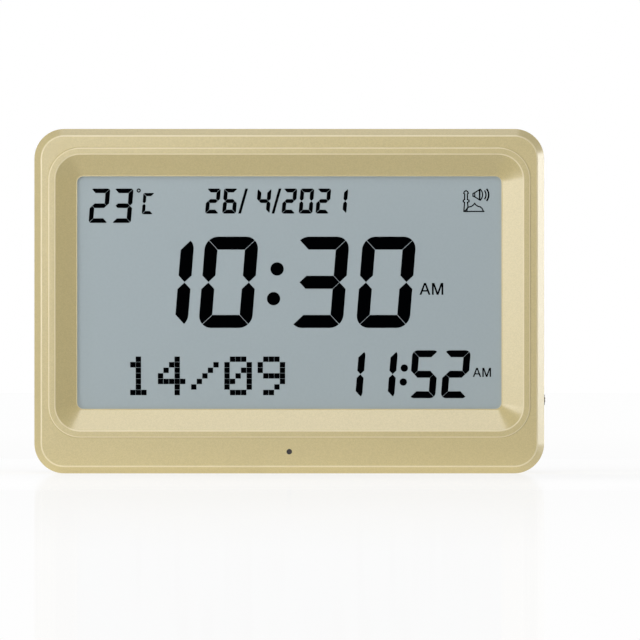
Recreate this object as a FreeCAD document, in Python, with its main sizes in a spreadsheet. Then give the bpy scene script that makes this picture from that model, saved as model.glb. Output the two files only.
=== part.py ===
"""Digital prayer-time clock for a table or a wall: a moulded two-shell casing round a wide
liquid-crystal display, with a thumbwheel volume control at one side and, at the back, five
buttons, a loudspeaker, a compartment for three AA cells, a folding leg and two keyholes.

Millimetres. +X is to the right for someone who reads the display, the display faces -Y and
+Z is up. The origin is in the middle of the base, on the surface that the clock stands on.
"""

import FreeCAD, Part

import math
import os

import Sketcher
from FreeCAD import Placement, Rotation, Vector

doc = FreeCAD.newDocument("PrayerClock")

# ------------------------------------------------------------------ driving dimensions

SIZES = [
    # display opening and the border of the casing round it
    ("window_width", 191.4, "display opening, across"),
    ("window_height", 104.9, "display opening, up"),
    ("window_radius", 1.5, "corner of the display opening"),
    ("side_border", 19.3, "casing beside the opening"),
    ("top_border", 21.4, "casing above the opening"),
    ("bottom_border", 29.1, "casing below the opening"),
    ("corner_radius", 13.5, "outer corner of the casing"),
    ("bevel_width", 3.15, "bevel round the front, seen from the front"),
    ("bevel_depth", 4.0, "bevel round the front, seen from the side"),
    ("slope_width", 10.1, "sloping frame round the opening"),
    ("recess_depth", 5.4, "how far the opening lies behind the rim"),
    ("rim_width", 3.05, "raised rim round the slope"),
    ("rim_height", 0.6, "how far the rim stands out"),
    ("rim_bevel", 0.4, "bevel on the rim's outer edge"),
    ("lip_thickness", 1.0, "lip in front of the display"),
    ("land_width", 2.8, "flat behind the lip that the display bears on"),
    ("front_wall", 2.2, "front wall of the casing"),
    ("side_wall", 2.4, "side walls of both shells"),
    ("rear_wall", 2.4, "back wall of the rear cover"),
    ("back_bevel_width", 2.4, "bevel round the back, seen from the back"),
    ("back_bevel_depth", 3.2, "bevel round the back, seen from the side"),
    ("tongue_length", 1.8, "tongue that centres the shells"),
    ("tongue_thickness", 0.9, "the same, across"),
    ("tongue_gap", 0.15, "room round the tongue"),
    ("reveal", 0.4, "shadow line between the shells"),
    # display, from front to back
    ("film_thickness", 0.25, "polarising films"),
    ("film_margin", 3.0, "films and light guide beyond the opening"),
    ("glass_thickness", 1.1, "each pane of the display"),
    ("glass_margin", 5.8, "panes beyond the opening"),
    ("contact_ledge", 6.0, "ledge of the front pane that carries the contacts"),
    ("guide_thickness", 3.0, "light guide"),
    ("lamp_board", 1.0, "strip that carries the backlight lamps"),
    ("lamp_size", 0.85, "backlight lamp, between strip and light guide"),
    ("lamp_length", 3.0, "backlight lamp, along the strip"),
    ("lamp_pitch", 30.0, "between backlight lamps"),
    ("holder_plate", 1.6, "back plate of the display holder"),
    ("holder_wall", 1.6, "edge wall of the display holder"),
    ("glass_gap", 0.3, "room round the panes in the holder"),
    ("zebra_width", 2.4, "rubber contact strip, up"),
    # fixing points
    ("boss_radius", 3.5, "screw bosses of the casing"),
    ("small_boss", 3.0, "screw bosses of the display holder"),
    ("boss_inset", 10.0, "corner bosses from the outer faces"),
    ("side_boss_inset", 7.7, "bosses half way up, from the outer faces"),
    ("case_hole", 1.7, "clearance hole in the rear cover, radius"),
    ("case_head", 2.8, "head of a case screw, radius"),
    ("case_head_height", 2.1, "head of a case screw"),
    ("case_shank", 1.45, "shank of a case screw, radius"),
    ("case_shank_length", 10.0, "shank of a case screw"),
    ("pillar_floor", 3.2, "material under the head of a case screw"),
    ("small_head", 1.9, "head of a small screw, radius"),
    ("small_head_height", 1.3, "head of a small screw"),
    ("small_shank", 0.95, "shank of a small screw, radius"),
    ("ear_width", 9.0, "ears of the display holder"),
    ("ear_x", 60.0, "ears from the middle"),
    # electronics
    ("board_thickness", 1.6, "circuit board"),
    ("board_standoff", 1.0, "board behind the display holder"),
    ("board_foot_z", 15.0, "lower edge of the board"),
    ("board_strip", 16.0, "height of the board's wide foot"),
    ("board_width", 190.0, "width of the board's wide foot"),
    ("tower_width", 66.0, "width of the board's tall middle"),
    ("tower_above_keys", 9.0, "board above the row of buttons"),
    ("chip_radius", 7.5, "sealed clock chip"),
    ("chip_height", 1.8, "sealed clock chip"),
    # buttons
    ("key_drop", 33.0, "row of buttons below the top"),
    ("key_pitch", 13.0, "between buttons"),
    ("key_width", 9.0, "button, across"),
    ("key_height", 6.0, "button, up"),
    ("key_gap", 0.2, "room round a button"),
    ("key_corner", 1.6, "corner that is cut off a button"),
    ("key_bevel", 0.5, "bevel round a button's top"),
    ("key_sink", 1.2, "panel round the buttons lies this deep"),
    ("key_proud", 1.0, "buttons stand out of the panel"),
    ("key_flange", 1.0, "flange that keeps a button in"),
    ("key_travel", 0.6, "travel of a button"),
    ("switch_side", 6.0, "tactile switch"),
    ("switch_height", 3.5, "tactile switch without its plunger"),
    ("plunger_radius", 1.7, "plunger of a tactile switch"),
    ("plunger_height", 1.5, "plunger above its switch"),
    # volume control
    ("wheel_radius", 8.0, "volume thumbwheel"),
    ("wheel_thickness", 2.6, "volume thumbwheel"),
    ("wheel_shows", 0.7, "wheel outside the casing"),
    ("wheel_z", 33.1, "wheel's axis above the base"),
    ("wheel_gap", 0.4, "room round the wheel in its slot"),
    ("wheel_teeth", 36, "ridges round the wheel"),
    ("tooth_depth", 0.35, "ridges of the wheel"),
    ("pot_radius", 4.4, "body of the volume control"),
    ("pot_height", 2.6, "body of the volume control"),
    ("spindle_radius", 1.5, "spindle of the volume control"),
    # loudspeaker
    ("speaker_radius", 28.5, "loudspeaker"),
    ("speaker_side", 9.1, "loudspeaker from the inner side wall"),
    ("speaker_rise", 6.5, "loudspeaker and cells above the display's middle"),
    ("speaker_reach", 13.4, "loudspeaker from its gasket to its yoke"),
    ("gasket", 0.5, "foam ring between loudspeaker and cover"),
    ("cone_edge", 0.3, "edge of the cone on the basket"),
    ("basket_sheet", 0.8, "sheet of the basket"),
    ("grille_radius", 23.0, "slots of the loudspeaker grille lie in this circle"),
    ("grille_slot", 2.0, "slot of the grille"),
    ("grille_pitch", 4.2, "between slots of the grille"),
    # cells and their compartment
    ("cell_radius", 7.25, "AA cell"),
    ("cell_length", 50.5, "AA cell with its cap"),
    ("cell_pitch", 14.9, "between cells"),
    ("cell_cap", 1.3, "cap at the end of a cell"),
    ("cell_room", 0.4, "room between cells and door"),
    ("bay_floor", 1.15, "floor of the compartment"),
    ("bay_wall", 1.5, "walls of the compartment"),
    ("bay_gap", 0.2, "compartment behind the display holder"),
    ("bay_side", 11.0, "compartment from the inner side wall"),
    ("spring_room", 4.0, "bent contact at a cell's flat end"),
    ("contact_sheet", 0.4, "sheet of the contacts"),
    ("door_thickness", 2.0, "compartment door"),
    ("door_bevel", 0.4, "bevel round the door"),
    ("door_ledge", 1.0, "door rests on this much of the walls"),
    ("door_gap", 0.2, "room round the door"),
    # folding leg
    ("leg_width", 40.0, "folding leg"),
    ("leg_thickness", 3.3, "folding leg"),
    ("leg_gap", 0.35, "room beside the leg"),
    ("leg_foot", 1.2, "lower end of the leg above the base"),
    ("hinge_z", 75.0, "axis of the leg above the base"),
    ("barrel_radius", 2.6, "barrel at the leg's axis"),
    ("heel_height", 4.2, "heel that stops the open leg"),
    ("pivot_radius", 1.7, "pivots of the leg"),
    ("pivot_length", 2.2, "pivots of the leg"),
    ("running_gap", 0.06, "room round whatever turns or slides"),
    ("nest_wall", 1.6, "floor of the leg's nest"),
    ("nest_cheek", 3.0, "sides of the leg's nest"),
    # hanging, power and air
    ("keyhole_x", 62.0, "keyholes from the middle"),
    ("keyhole_drop", 22.0, "keyholes' lower holes below the top"),
    ("keyhole_radius", 4.2, "keyhole, lower hole"),
    ("keyhole_slot", 4.4, "keyhole, width of the slot"),
    ("keyhole_rise", 7.0, "keyhole, from the hole to the end of the slot"),
    ("keyhole_depth", 4.8, "room for the hanging screw's head"),
    ("socket_x", 72.0, "power socket from the middle"),
    ("socket_z", 23.0, "power socket above the base"),
    ("socket_radius", 4.6, "power socket, outside"),
    ("socket_bore", 3.1, "power socket, inside"),
    ("socket_height", 10.8, "power socket"),
    ("socket_pin", 1.0, "pin of the power socket, radius"),
    ("vent_inset", 19.0, "air slots and thermometer from the end of the board"),
    ("vent_z", 23.0, "air slots above the base"),
    # light sensor behind the hole in the lower border
    ("sensor_z", 9.8, "light sensor above the base"),
    ("sensor_hole", 1.25, "hole of the light sensor, radius"),
    ("sensor_post", 3.0, "posts of the sensor board"),
    ("sensor_board", 1.2, "sensor board"),
    ("sensor_feet", 7.0, "screws of the sensor board from the middle"),
]

sheet = doc.addObject("Spreadsheet::Sheet", "Sizes")
for row, (alias, number, meaning) in enumerate(SIZES, start=1):
    sheet.set(f"A{row}", meaning)
    sheet.set(f"B{row}", str(number))
    sheet.setAlias(f"B{row}", alias)
places = doc.addObject("App::VarSet", "Places")


class Size:
    """A number together with the expression that keeps FreeCAD's copy of it up to date."""

    def __init__(self, number, text):
        self.number = float(number)
        self.text = text

    def __add__(self, other):
        other = size(other)
        return Size(self.number + other.number, f"({self.text} + {other.text})")

    def __sub__(self, other):
        other = size(other)
        return Size(self.number - other.number, f"({self.text} - {other.text})")

    def __mul__(self, other):
        other = size(other)
        return Size(self.number * other.number, f"({self.text} * {other.text})")

    def __truediv__(self, other):
        other = size(other)
        return Size(self.number / other.number, f"({self.text} / {other.text})")

    def __radd__(self, other):
        return size(other) + self

    def __rsub__(self, other):
        return size(other) - self

    def __rmul__(self, other):
        return size(other) * self

    def __neg__(self):
        return Size(-self.number, f"(-1 * {self.text})")


def size(value):
    """The value as a Size, whether it was a plain number or one already."""
    if isinstance(value, Size):
        return value
    return Size(value, f"({float(value)})")


class Drivers:
    """The cells of the sheet by name."""

    def __init__(self):
        for alias, number, _ in SIZES:
            setattr(self, alias, Size(number, f"Sizes.{alias}"))


S = Drivers()


def derived(name, value):
    """A size that follows from others, kept under its own name in the document."""
    places.addProperty("App::PropertyFloat", name)
    places.setExpression(name, value.text)
    return Size(value.number, f"Places.{name}")


# ------------------------------------------------------------------ places that follow

case_width = derived("case_width", S.window_width + 2 * S.side_border)
case_height = derived("case_height", S.bottom_border + S.window_height + S.top_border)
window_z = derived("window_z", S.bottom_border + S.window_height / 2)
mid_z = derived("mid_z", case_height / 2)
inner_side = derived("inner_side", case_width / 2 - S.side_wall)

display_depth = 2 * S.film_thickness + 2 * S.glass_thickness + S.guide_thickness
holder_depth = S.holder_plate + S.bay_gap + S.bay_floor
cell_depth = 2 * S.cell_radius + S.cell_room + S.door_thickness
front_depth = S.recess_depth + S.lip_thickness
case_depth = derived("case_depth", front_depth + display_depth + holder_depth + cell_depth)

front_y = derived("front_y", -(case_depth / 2))
flat_y = derived("flat_y", front_y + S.rim_height)
bevel_y = derived("bevel_y", flat_y + S.bevel_depth)
wall_y = derived("wall_y", flat_y + S.front_wall)
window_y = derived("window_y", front_y + S.recess_depth)
film_y = derived("film_y", window_y + S.lip_thickness)
front_glass_y = derived("front_glass_y", film_y + S.film_thickness)
rear_glass_y = derived("rear_glass_y", front_glass_y + S.glass_thickness)
rear_film_y = derived("rear_film_y", rear_glass_y + S.glass_thickness)
guide_y = derived("guide_y", rear_film_y + S.film_thickness)
holder_y = derived("holder_y", guide_y + S.guide_thickness)
holder_back_y = derived("holder_back_y", holder_y + S.holder_plate)
board_y = derived("board_y", holder_back_y + S.board_standoff)
board_back_y = derived("board_back_y", board_y + S.board_thickness)
bay_floor_y = derived("bay_floor_y", holder_back_y + S.bay_gap)
bay_y = derived("bay_y", bay_floor_y + S.bay_floor)
cell_y = derived("cell_y", bay_y + S.cell_radius)
rear_y = derived("rear_y", case_depth / 2)
door_y = derived("door_y", rear_y - S.door_thickness)
back_wall_y = derived("back_wall_y", rear_y - S.rear_wall)
back_bevel_y = derived("back_bevel_y", rear_y - S.back_bevel_depth)

wheel_y = derived("wheel_y", board_back_y + S.pot_height + 0.2)
wheel_end_y = derived("wheel_end_y", wheel_y + S.wheel_thickness)
parting_y = derived("parting_y", (wheel_y + wheel_end_y) / 2)
wheel_x = derived("wheel_x", case_width / 2 + S.wheel_shows - S.wheel_radius)

glass_width = derived("glass_width", S.window_width + 2 * S.glass_margin)
glass_height = derived("glass_height", S.window_height + 2 * S.glass_margin)
film_width = derived("film_width", S.window_width + 2 * S.film_margin)
film_height = derived("film_height", S.window_height + 2 * S.film_margin)
ledge_height = derived("ledge_height", glass_height + S.contact_ledge)
ledge_z = derived("ledge_z", window_z - S.contact_ledge / 2)
holder_width = derived("holder_width", glass_width + 2 * S.glass_gap + 2 * S.holder_wall)
holder_height = derived("holder_height", ledge_height + 2 * S.glass_gap + 2 * S.holder_wall)
zebra_z = derived("zebra_z", window_z - glass_height / 2 - S.contact_ledge / 2)
zebra_length = derived("zebra_length", S.window_width - 12)
lamp_z = derived("lamp_z", window_z + film_height / 2)
strip_z = derived("strip_z", lamp_z + S.lamp_size + S.lamp_board / 2)

corner_x = derived("corner_x", case_width / 2 - S.boss_inset)
corner_low = derived("corner_low", S.boss_inset + 0.5)
corner_high = derived("corner_high", case_height - S.boss_inset)
side_boss_x = derived("side_boss_x", case_width / 2 - S.side_boss_inset)
CASE_FIXINGS = [
    (sign * x, z)
    for sign in (-1, 1)
    for x, z in ((corner_x, corner_low), (corner_x, corner_high), (side_boss_x, window_z))
]
ear_low = derived("ear_low", (ledge_z - holder_height / 2) / 2 + S.side_wall / 2)
ear_high = derived("ear_high", case_height - S.side_wall - S.small_boss - 3)
HOLDER_FIXINGS = [(sign * S.ear_x, z) for sign in (-1, 1) for z in (ear_low, ear_high)]

key_z = derived("key_z", case_height - S.key_drop)
board_top = derived("board_top", key_z + S.tower_above_keys)
foot_top = derived("foot_top", S.board_foot_z + S.board_strip)
shelf_top = derived("shelf_top", S.wheel_z + S.wheel_radius + 1)
board_right = derived("board_right", inner_side - 0.4)
tower_edge = derived("tower_edge", S.tower_width / 2 - 3.5)
vent_x = derived("vent_x", S.vent_inset - S.board_width / 2)
BOARD_FIXINGS = [
    (-tower_edge, board_top - 3.5),
    (tower_edge, board_top - 3.5),
    (4 - S.board_width / 2, foot_top - 4),
    (wheel_x - S.wheel_radius - 5, foot_top - 4),
]

BUTTONS = ["menu", "up", "down", "light", "mute"]
KEY_PLACES = [(index - 2) * S.key_pitch for index in range(len(BUTTONS))]
button_y = derived("button_y", rear_y - S.key_sink + S.key_proud)
flange_y = derived("flange_y", back_wall_y - 0.1)
switch_y = derived("switch_y", board_back_y + S.switch_height)
plunger_y = derived("plunger_y", switch_y + S.plunger_height)

speaker_x = derived("speaker_x", inner_side - S.speaker_side - S.speaker_radius)
speaker_z = derived("speaker_z", window_z + S.speaker_rise)
basket_y = derived("basket_y", back_wall_y - S.gasket - S.cone_edge)
seat_y = derived("seat_y", basket_y - S.basket_sheet)
yoke_y = derived("yoke_y", back_wall_y - S.gasket - S.speaker_reach)
SPEAKER_ANGLES = (90, 210, 330)
SPEAKER_SIDES = 16

bay_length = derived("bay_length", S.cell_length + S.spring_room + S.contact_sheet + 0.1)
bay_height = derived("bay_height", 2 * S.cell_pitch + 2 * S.cell_radius + 0.6)
bay_left = derived("bay_left", S.bay_side - inner_side)
bay_right = derived("bay_right", bay_left + bay_length)
bay_x = derived("bay_x", bay_left + bay_length / 2)
bay_low = derived("bay_low", speaker_z - bay_height / 2)
CELL_HEIGHTS = [speaker_z + (index - 1) * S.cell_pitch for index in range(3)]
door_width = derived("door_width", bay_length + 2 * S.door_ledge - 2 * S.door_gap)
door_height = derived("door_height", bay_height + 2 * S.door_ledge - 2 * S.door_gap)
door_top = derived("door_top", speaker_z + door_height / 2)
TONGUES = [bay_x - bay_length / 4, bay_x + bay_length / 4]

hinge_y = derived("hinge_y", rear_y - 0.2 - S.barrel_radius)
nest_y = derived("nest_y", hinge_y - S.barrel_radius - 0.3)
nest_top = derived("nest_top", S.hinge_z + S.heel_height + 1.1)
nest_width = derived("nest_width", S.leg_width + 2 * S.leg_gap)
leg_end_y = derived("leg_end_y", rear_y - 0.2)
leg_y = derived("leg_y", leg_end_y - S.leg_thickness)
post_y = derived("post_y", wall_y + S.sensor_post)
SENSOR_FIXINGS = [(-S.sensor_feet, S.sensor_z), (S.sensor_feet, S.sensor_z)]


# ------------------------------------------------------------------ outlines on a sketch

PLANES = {"front": "XZ_Plane", "side": "YZ_Plane", "top": "XY_Plane"}


def dimension(sketch, kind, *references, to):
    """Adds a dimension to a sketch and ties it to the sizes."""
    to = size(to)
    index = sketch.addConstraint(Sketcher.Constraint(kind, *references, to.number))
    sketch.setExpression(f"Constraints[{index}]", to.text)


def pin_point(sketch, geometry, point, u, v):
    """Dimensions a point of a sketch from the sketch's origin."""
    dimension(sketch, "DistanceX", -1, 1, geometry, point, to=u)
    dimension(sketch, "DistanceY", -1, 1, geometry, point, to=v)


def disc(u, v, radius):
    """A circle round the middle (u, v)."""
    u, v, radius = size(u), size(v), size(radius)

    def draw(sketch):
        middle = Vector(u.number, v.number, 0)
        ring = sketch.addGeometry(Part.Circle(middle, Vector(0, 0, 1), radius.number))
        dimension(sketch, "Radius", ring, to=radius)
        pin_point(sketch, ring, 3, u, v)

    return draw


def polygon(*corners):
    """Straight lines from corner to corner."""
    corners = [(size(u), size(v)) for u, v in corners]

    def draw(sketch):
        points = [Vector(u.number, v.number, 0) for u, v in corners]
        lines = [
            sketch.addGeometry(Part.LineSegment(start, end))
            for start, end in zip(points, points[1:] + points[:1])
        ]
        for line, after in zip(lines, lines[1:] + lines[:1]):
            sketch.addConstraint(Sketcher.Constraint("Coincident", line, 2, after, 1))
        for line, (u, v) in zip(lines, corners):
            pin_point(sketch, line, 1, u, v)

    return draw


def box(u, v, width, height):
    """A rectangle round the middle (u, v)."""
    u, v, half_w, half_h = size(u), size(v), size(width) / 2, size(height) / 2
    return polygon(
        (u - half_w, v - half_h),
        (u + half_w, v - half_h),
        (u + half_w, v + half_h),
        (u - half_w, v + half_h),
    )


def bevelled(u, v, width, height, corner):
    """A rectangle round the middle (u, v) with its corners cut off."""
    u, v, half_w, half_h = size(u), size(v), size(width) / 2, size(height) / 2
    return polygon(
        (u - half_w + corner, v - half_h),
        (u + half_w - corner, v - half_h),
        (u + half_w, v - half_h + corner),
        (u + half_w, v + half_h - corner),
        (u + half_w - corner, v + half_h),
        (u - half_w + corner, v + half_h),
        (u - half_w, v + half_h - corner),
        (u - half_w, v - half_h + corner),
    )


def flats(u, v, radius, sides=8):
    """A ring of flats round the middle (u, v), for round things that stay out of sight."""
    u, v, radius = size(u), size(v), size(radius)
    turns = [2 * math.pi * (index + 0.5) / sides for index in range(sides)]
    return polygon(
        *[
            (u + radius * round(math.cos(turn), 5), v + radius * round(math.sin(turn), 5))
            for turn in turns
        ]
    )


def rounded(u, v, width, height, radius):
    """A rectangle round the middle (u, v) with quarter circles at its corners."""
    u, v, radius = size(u), size(v), size(radius)
    left, right = u - width / 2, u + width / 2
    low, high = v - height / 2, v + height / 2

    def draw(sketch):
        r = radius.number
        x0, x1, z0, z1 = left.number, right.number, low.number, high.number
        sides = [
            (Vector(x0 + r, z0, 0), Vector(x1 - r, z0, 0)),
            (Vector(x1, z0 + r, 0), Vector(x1, z1 - r, 0)),
            (Vector(x1 - r, z1, 0), Vector(x0 + r, z1, 0)),
            (Vector(x0, z1 - r, 0), Vector(x0, z0 + r, 0)),
        ]
        middles = [(x1 - r, z0 + r), (x1 - r, z1 - r), (x0 + r, z1 - r), (x0 + r, z0 + r)]
        lines = [sketch.addGeometry(Part.LineSegment(*ends)) for ends in sides]
        arcs = []
        for quarter, (x, z) in enumerate(middles):
            circle = Part.Circle(Vector(x, z, 0), Vector(0, 0, 1), r)
            start = math.radians(90 * quarter - 90)
            arc = Part.ArcOfCircle(circle, start, start + math.pi / 2)
            arcs.append(sketch.addGeometry(arc))
        for line, arc, after in zip(lines, arcs, lines[1:] + lines[:1]):
            sketch.addConstraint(Sketcher.Constraint("Tangent", line, 2, arc, 1))
            sketch.addConstraint(Sketcher.Constraint("Tangent", arc, 2, after, 1))
        for line, way in zip(lines, ("Horizontal", "Vertical") * 2):
            sketch.addConstraint(Sketcher.Constraint(way, line))
        for arc in arcs[1:]:
            sketch.addConstraint(Sketcher.Constraint("Equal", arcs[0], arc))
        dimension(sketch, "Radius", arcs[0], to=radius)
        dimension(sketch, "DistanceX", -1, 1, lines[1], 1, to=right)
        dimension(sketch, "DistanceX", -1, 1, lines[3], 1, to=left)
        dimension(sketch, "DistanceY", -1, 1, lines[0], 1, to=low)
        dimension(sketch, "DistanceY", -1, 1, lines[2], 1, to=high)

    return draw


def slot(u, v, width, height):
    """A slot with half-round ends round the middle (u, v), lying if it is wider than high."""
    u, v, width, height = size(u), size(v), size(width), size(height)
    lying = width.number > height.number
    short, long = (height, width) if lying else (width, height)
    radius, reach = short / 2, (long - short) / 2

    def draw(sketch):
        middle = Vector(u.number, v.number, 0)
        along = Vector(1, 0, 0) if lying else Vector(0, 1, 0)
        across = Vector(0, 1, 0) if lying else Vector(-1, 0, 0)
        side = across * radius.number
        near, far = middle - along * reach.number, middle + along * reach.number
        ahead = 0 if lying else math.pi / 2
        quarter = math.pi / 2
        far_circle = Part.Circle(far, Vector(0, 0, 1), radius.number)
        near_circle = Part.Circle(near, Vector(0, 0, 1), radius.number)
        far_arc = Part.ArcOfCircle(far_circle, ahead - quarter, ahead + quarter)
        near_arc = Part.ArcOfCircle(near_circle, ahead + quarter, ahead + 3 * quarter)
        low = sketch.addGeometry(Part.LineSegment(near - side, far - side))
        far_end = sketch.addGeometry(far_arc)
        high = sketch.addGeometry(Part.LineSegment(far + side, near + side))
        near_end = sketch.addGeometry(near_arc)
        for first, second in ((low, far_end), (far_end, high), (high, near_end), (near_end, low)):
            sketch.addConstraint(Sketcher.Constraint("Tangent", first, 2, second, 1))
        sketch.addConstraint(Sketcher.Constraint("Horizontal" if lying else "Vertical", low))
        sketch.addConstraint(Sketcher.Constraint("Equal", far_end, near_end))
        dimension(sketch, "Radius", far_end, to=radius)
        if lying:
            pin_point(sketch, far_end, 3, u + reach, v)
            dimension(sketch, "DistanceX", -1, 1, near_end, 3, to=u - reach)
        else:
            pin_point(sketch, far_end, 3, u, v + reach)
            dimension(sketch, "DistanceY", -1, 1, near_end, 3, to=v - reach)

    return draw


def shell_outline(inset):
    """The casing's outline, drawn in from its outer faces by inset."""
    return rounded(
        0,
        mid_z,
        case_width - 2 * inset,
        case_height - 2 * inset,
        S.corner_radius - inset,
    )


def frame_outline(margin):
    """The display opening's outline, drawn out from the opening by margin."""
    return rounded(
        0,
        window_z,
        S.window_width + 2 * margin,
        S.window_height + 2 * margin,
        S.window_radius + margin,
    )


def wheel_slot():
    """The gap that the thumbwheel needs in the right-hand side wall."""
    return box(
        case_width / 2 - S.side_wall / 2,
        S.wheel_z,
        S.side_wall + 2,
        2 * S.wheel_radius - 2.2,
    )


# ------------------------------------------------------------------ pieces


class Piece:
    """One piece of the clock: a body whose features are drawn square to the axes."""

    def __init__(self, label):
        self.body = doc.addObject("PartDesign::Body", label)
        self.body.Label = label

    def plane(self, role):
        return next(f for f in self.body.Origin.OriginFeatures if f.Role == role)

    def sketch(self, name, at, outlines, plane="front"):
        """Draws outlines on a plane of the piece, moved to a position on the plane's axis."""
        drawn = self.body.newObject("Sketcher::SketchObject", f"{name}_outline")
        drawn.AttachmentSupport = (self.plane(PLANES[plane]), [""])
        drawn.MapMode = "FlatFace"
        lift = -size(at) if plane == "front" else size(at)
        drawn.AttachmentOffset = Placement(Vector(0, 0, lift.number), Rotation())
        drawn.setExpression("AttachmentOffset.Base.z", lift.text)
        for draw in outlines:
            draw(drawn)
        return drawn

    def add(self, name, low, high, *outlines, plane="front"):
        """Adds the outlines' prisms between two positions on the plane's axis."""
        pad = self.body.newObject("PartDesign::Pad", name)
        pad.Profile = self.sketch(name, high if plane == "front" else low, outlines, plane)
        depth = size(high - low)
        pad.Length = depth.number
        pad.setExpression("Length", depth.text)

    def cut(self, name, low, high, *outlines, plane="front"):
        """Removes the outlines' prisms between two positions on the plane's axis."""
        pocket = self.body.newObject("PartDesign::Pocket", name)
        pocket.Profile = self.sketch(name, low if plane == "front" else high, outlines, plane)
        depth = size(high - low)
        pocket.Length = depth.number
        pocket.setExpression("Length", depth.text)
        return pocket

    def blend(self, name, kind, near, near_outline, far, far_outline):
        """Adds or removes what lies between one outline and another further back."""
        loft = self.body.newObject(f"PartDesign::{kind}Loft", name)
        loft.Profile = self.sketch(f"{name}_near", near, [near_outline])
        loft.Sections = [self.sketch(f"{name}_far", far, [far_outline])]
        loft.Ruled = True

    def repeat(self, name, feature, count):
        """Repeats a feature evenly round the Y axis."""
        pattern = self.body.newObject("PartDesign::PolarPattern", name)
        pattern.Originals = [feature]
        pattern.Axis = (self.plane("Y_Axis"), [""])
        pattern.Angle = 360
        pattern.Occurrences = int(count.number)
        pattern.setExpression("Occurrences", count.text)
        self.body.Tip = pattern

    def bevel(self, name, amount, at_y, depth=None, mouth=None):
        """Bevels the edges in one plane square to Y, or only those of a mouth of some radius.

        The bevel is as deep as it is wide unless it is given a depth.
        """
        doc.recompute()
        tip = self.body.Tip
        level = at_y.number
        names = [
            f"Edge{index}"
            for index, edge in enumerate(tip.Shape.Edges, start=1)
            if abs(edge.BoundBox.YMin - level) < 0.01
            and abs(edge.BoundBox.YMax - level) < 0.01
            and (mouth is None or math.hypot(edge.CenterOfMass.x, edge.CenterOfMass.z) < mouth)
        ]
        if not names:
            raise RuntimeError(f"{self.body.Label}: no edge for {name}")
        eased = self.body.newObject("PartDesign::Chamfer", name)
        eased.Base = (tip, names)
        eased.Size = amount.number
        eased.setExpression("Size", amount.text)
        if depth is not None:
            eased.ChamferType = "Two distances"
            eased.FlipDirection = mouth is None
            eased.Size2 = depth.number
            eased.setExpression("Size2", depth.text)

    def place(self, x, y, z):
        """Moves the piece to its place on the clock."""
        spot = [size(value) for value in (x, y, z)]
        self.body.Placement = Placement(Vector(*[value.number for value in spot]), Rotation())
        for axis, value in zip("xyz", spot):
            self.body.setExpression(f"Placement.Base.{axis}", value.text)


def posts(middles, radius):
    return [flats(x, z, radius) for x, z in middles]


def screws(label, seat, head, head_height, shank, length, fixings, towards=-1):
    """Screws whose shanks run from the seat to the front (-1) or the back (+1)."""
    tip = seat + towards * length
    crown = seat - towards * head_height
    piece = Piece(label)
    if towards < 0:
        shank_span, head_span = (tip, seat), (seat, crown)
    else:
        shank_span, head_span = (seat, tip), (crown, seat)
    piece.add("shank", *shank_span, *posts(fixings, shank))
    piece.add("head", *head_span, *posts(fixings, head))


# ------------------------------------------------------------------ casing


def make_front_case():
    """The front shell: bevelled face, raised rim, sloping frame and lip round the display."""
    case = Piece("front_case")
    slope = S.slope_width
    case.blend(
        "bevel",
        "Additive",
        flat_y,
        shell_outline(S.bevel_width),
        bevel_y,
        shell_outline(size(0)),
    )
    case.add("sides", bevel_y, parting_y, shell_outline(size(0)))
    case.add("rim", front_y, flat_y, frame_outline(slope + S.rim_width))
    case.bevel("rim_edge", S.rim_bevel, front_y)
    case.cut("front_hollow", wall_y, bevel_y, shell_outline(S.side_wall + S.bevel_width / 2))
    case.cut("side_hollow", bevel_y, parting_y, shell_outline(S.side_wall))
    case.blend(
        "frame_back",
        "Additive",
        wall_y,
        frame_outline(slope),
        film_y,
        frame_outline(S.land_width),
    )
    case.add("case_bosses", wall_y, parting_y, *posts(CASE_FIXINGS, S.boss_radius))
    case.add("holder_bosses", wall_y, holder_y, *posts(HOLDER_FIXINGS, S.small_boss))
    case.add("sensor_posts", wall_y, post_y, *posts(SENSOR_FIXINGS, S.boss_radius / 2))
    case.blend(
        "frame_slope",
        "Subtractive",
        front_y,
        frame_outline(slope),
        window_y,
        frame_outline(size(0)),
    )
    case.cut("window", window_y, film_y, frame_outline(size(0)))
    pilot_y = parting_y - S.case_shank_length
    case.cut("case_pilots", pilot_y, parting_y, *posts(CASE_FIXINGS, S.case_shank))
    case.cut("holder_pilots", wall_y + 1, holder_y, *posts(HOLDER_FIXINGS, S.small_shank))
    case.cut("sensor_pilots", wall_y, post_y, *posts(SENSOR_FIXINGS, S.small_shank * 0.8))
    case.cut("sensor_hole", flat_y, wall_y, disc(0, S.sensor_z, S.sensor_hole))
    case.cut(
        "rebate",
        parting_y - S.tongue_length - S.tongue_gap,
        parting_y,
        shell_outline(S.side_wall - S.tongue_thickness - S.tongue_gap),
        shell_outline(S.side_wall),
    )
    case.cut("wheel_slot", wheel_y - S.wheel_gap, parting_y, wheel_slot())


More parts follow.
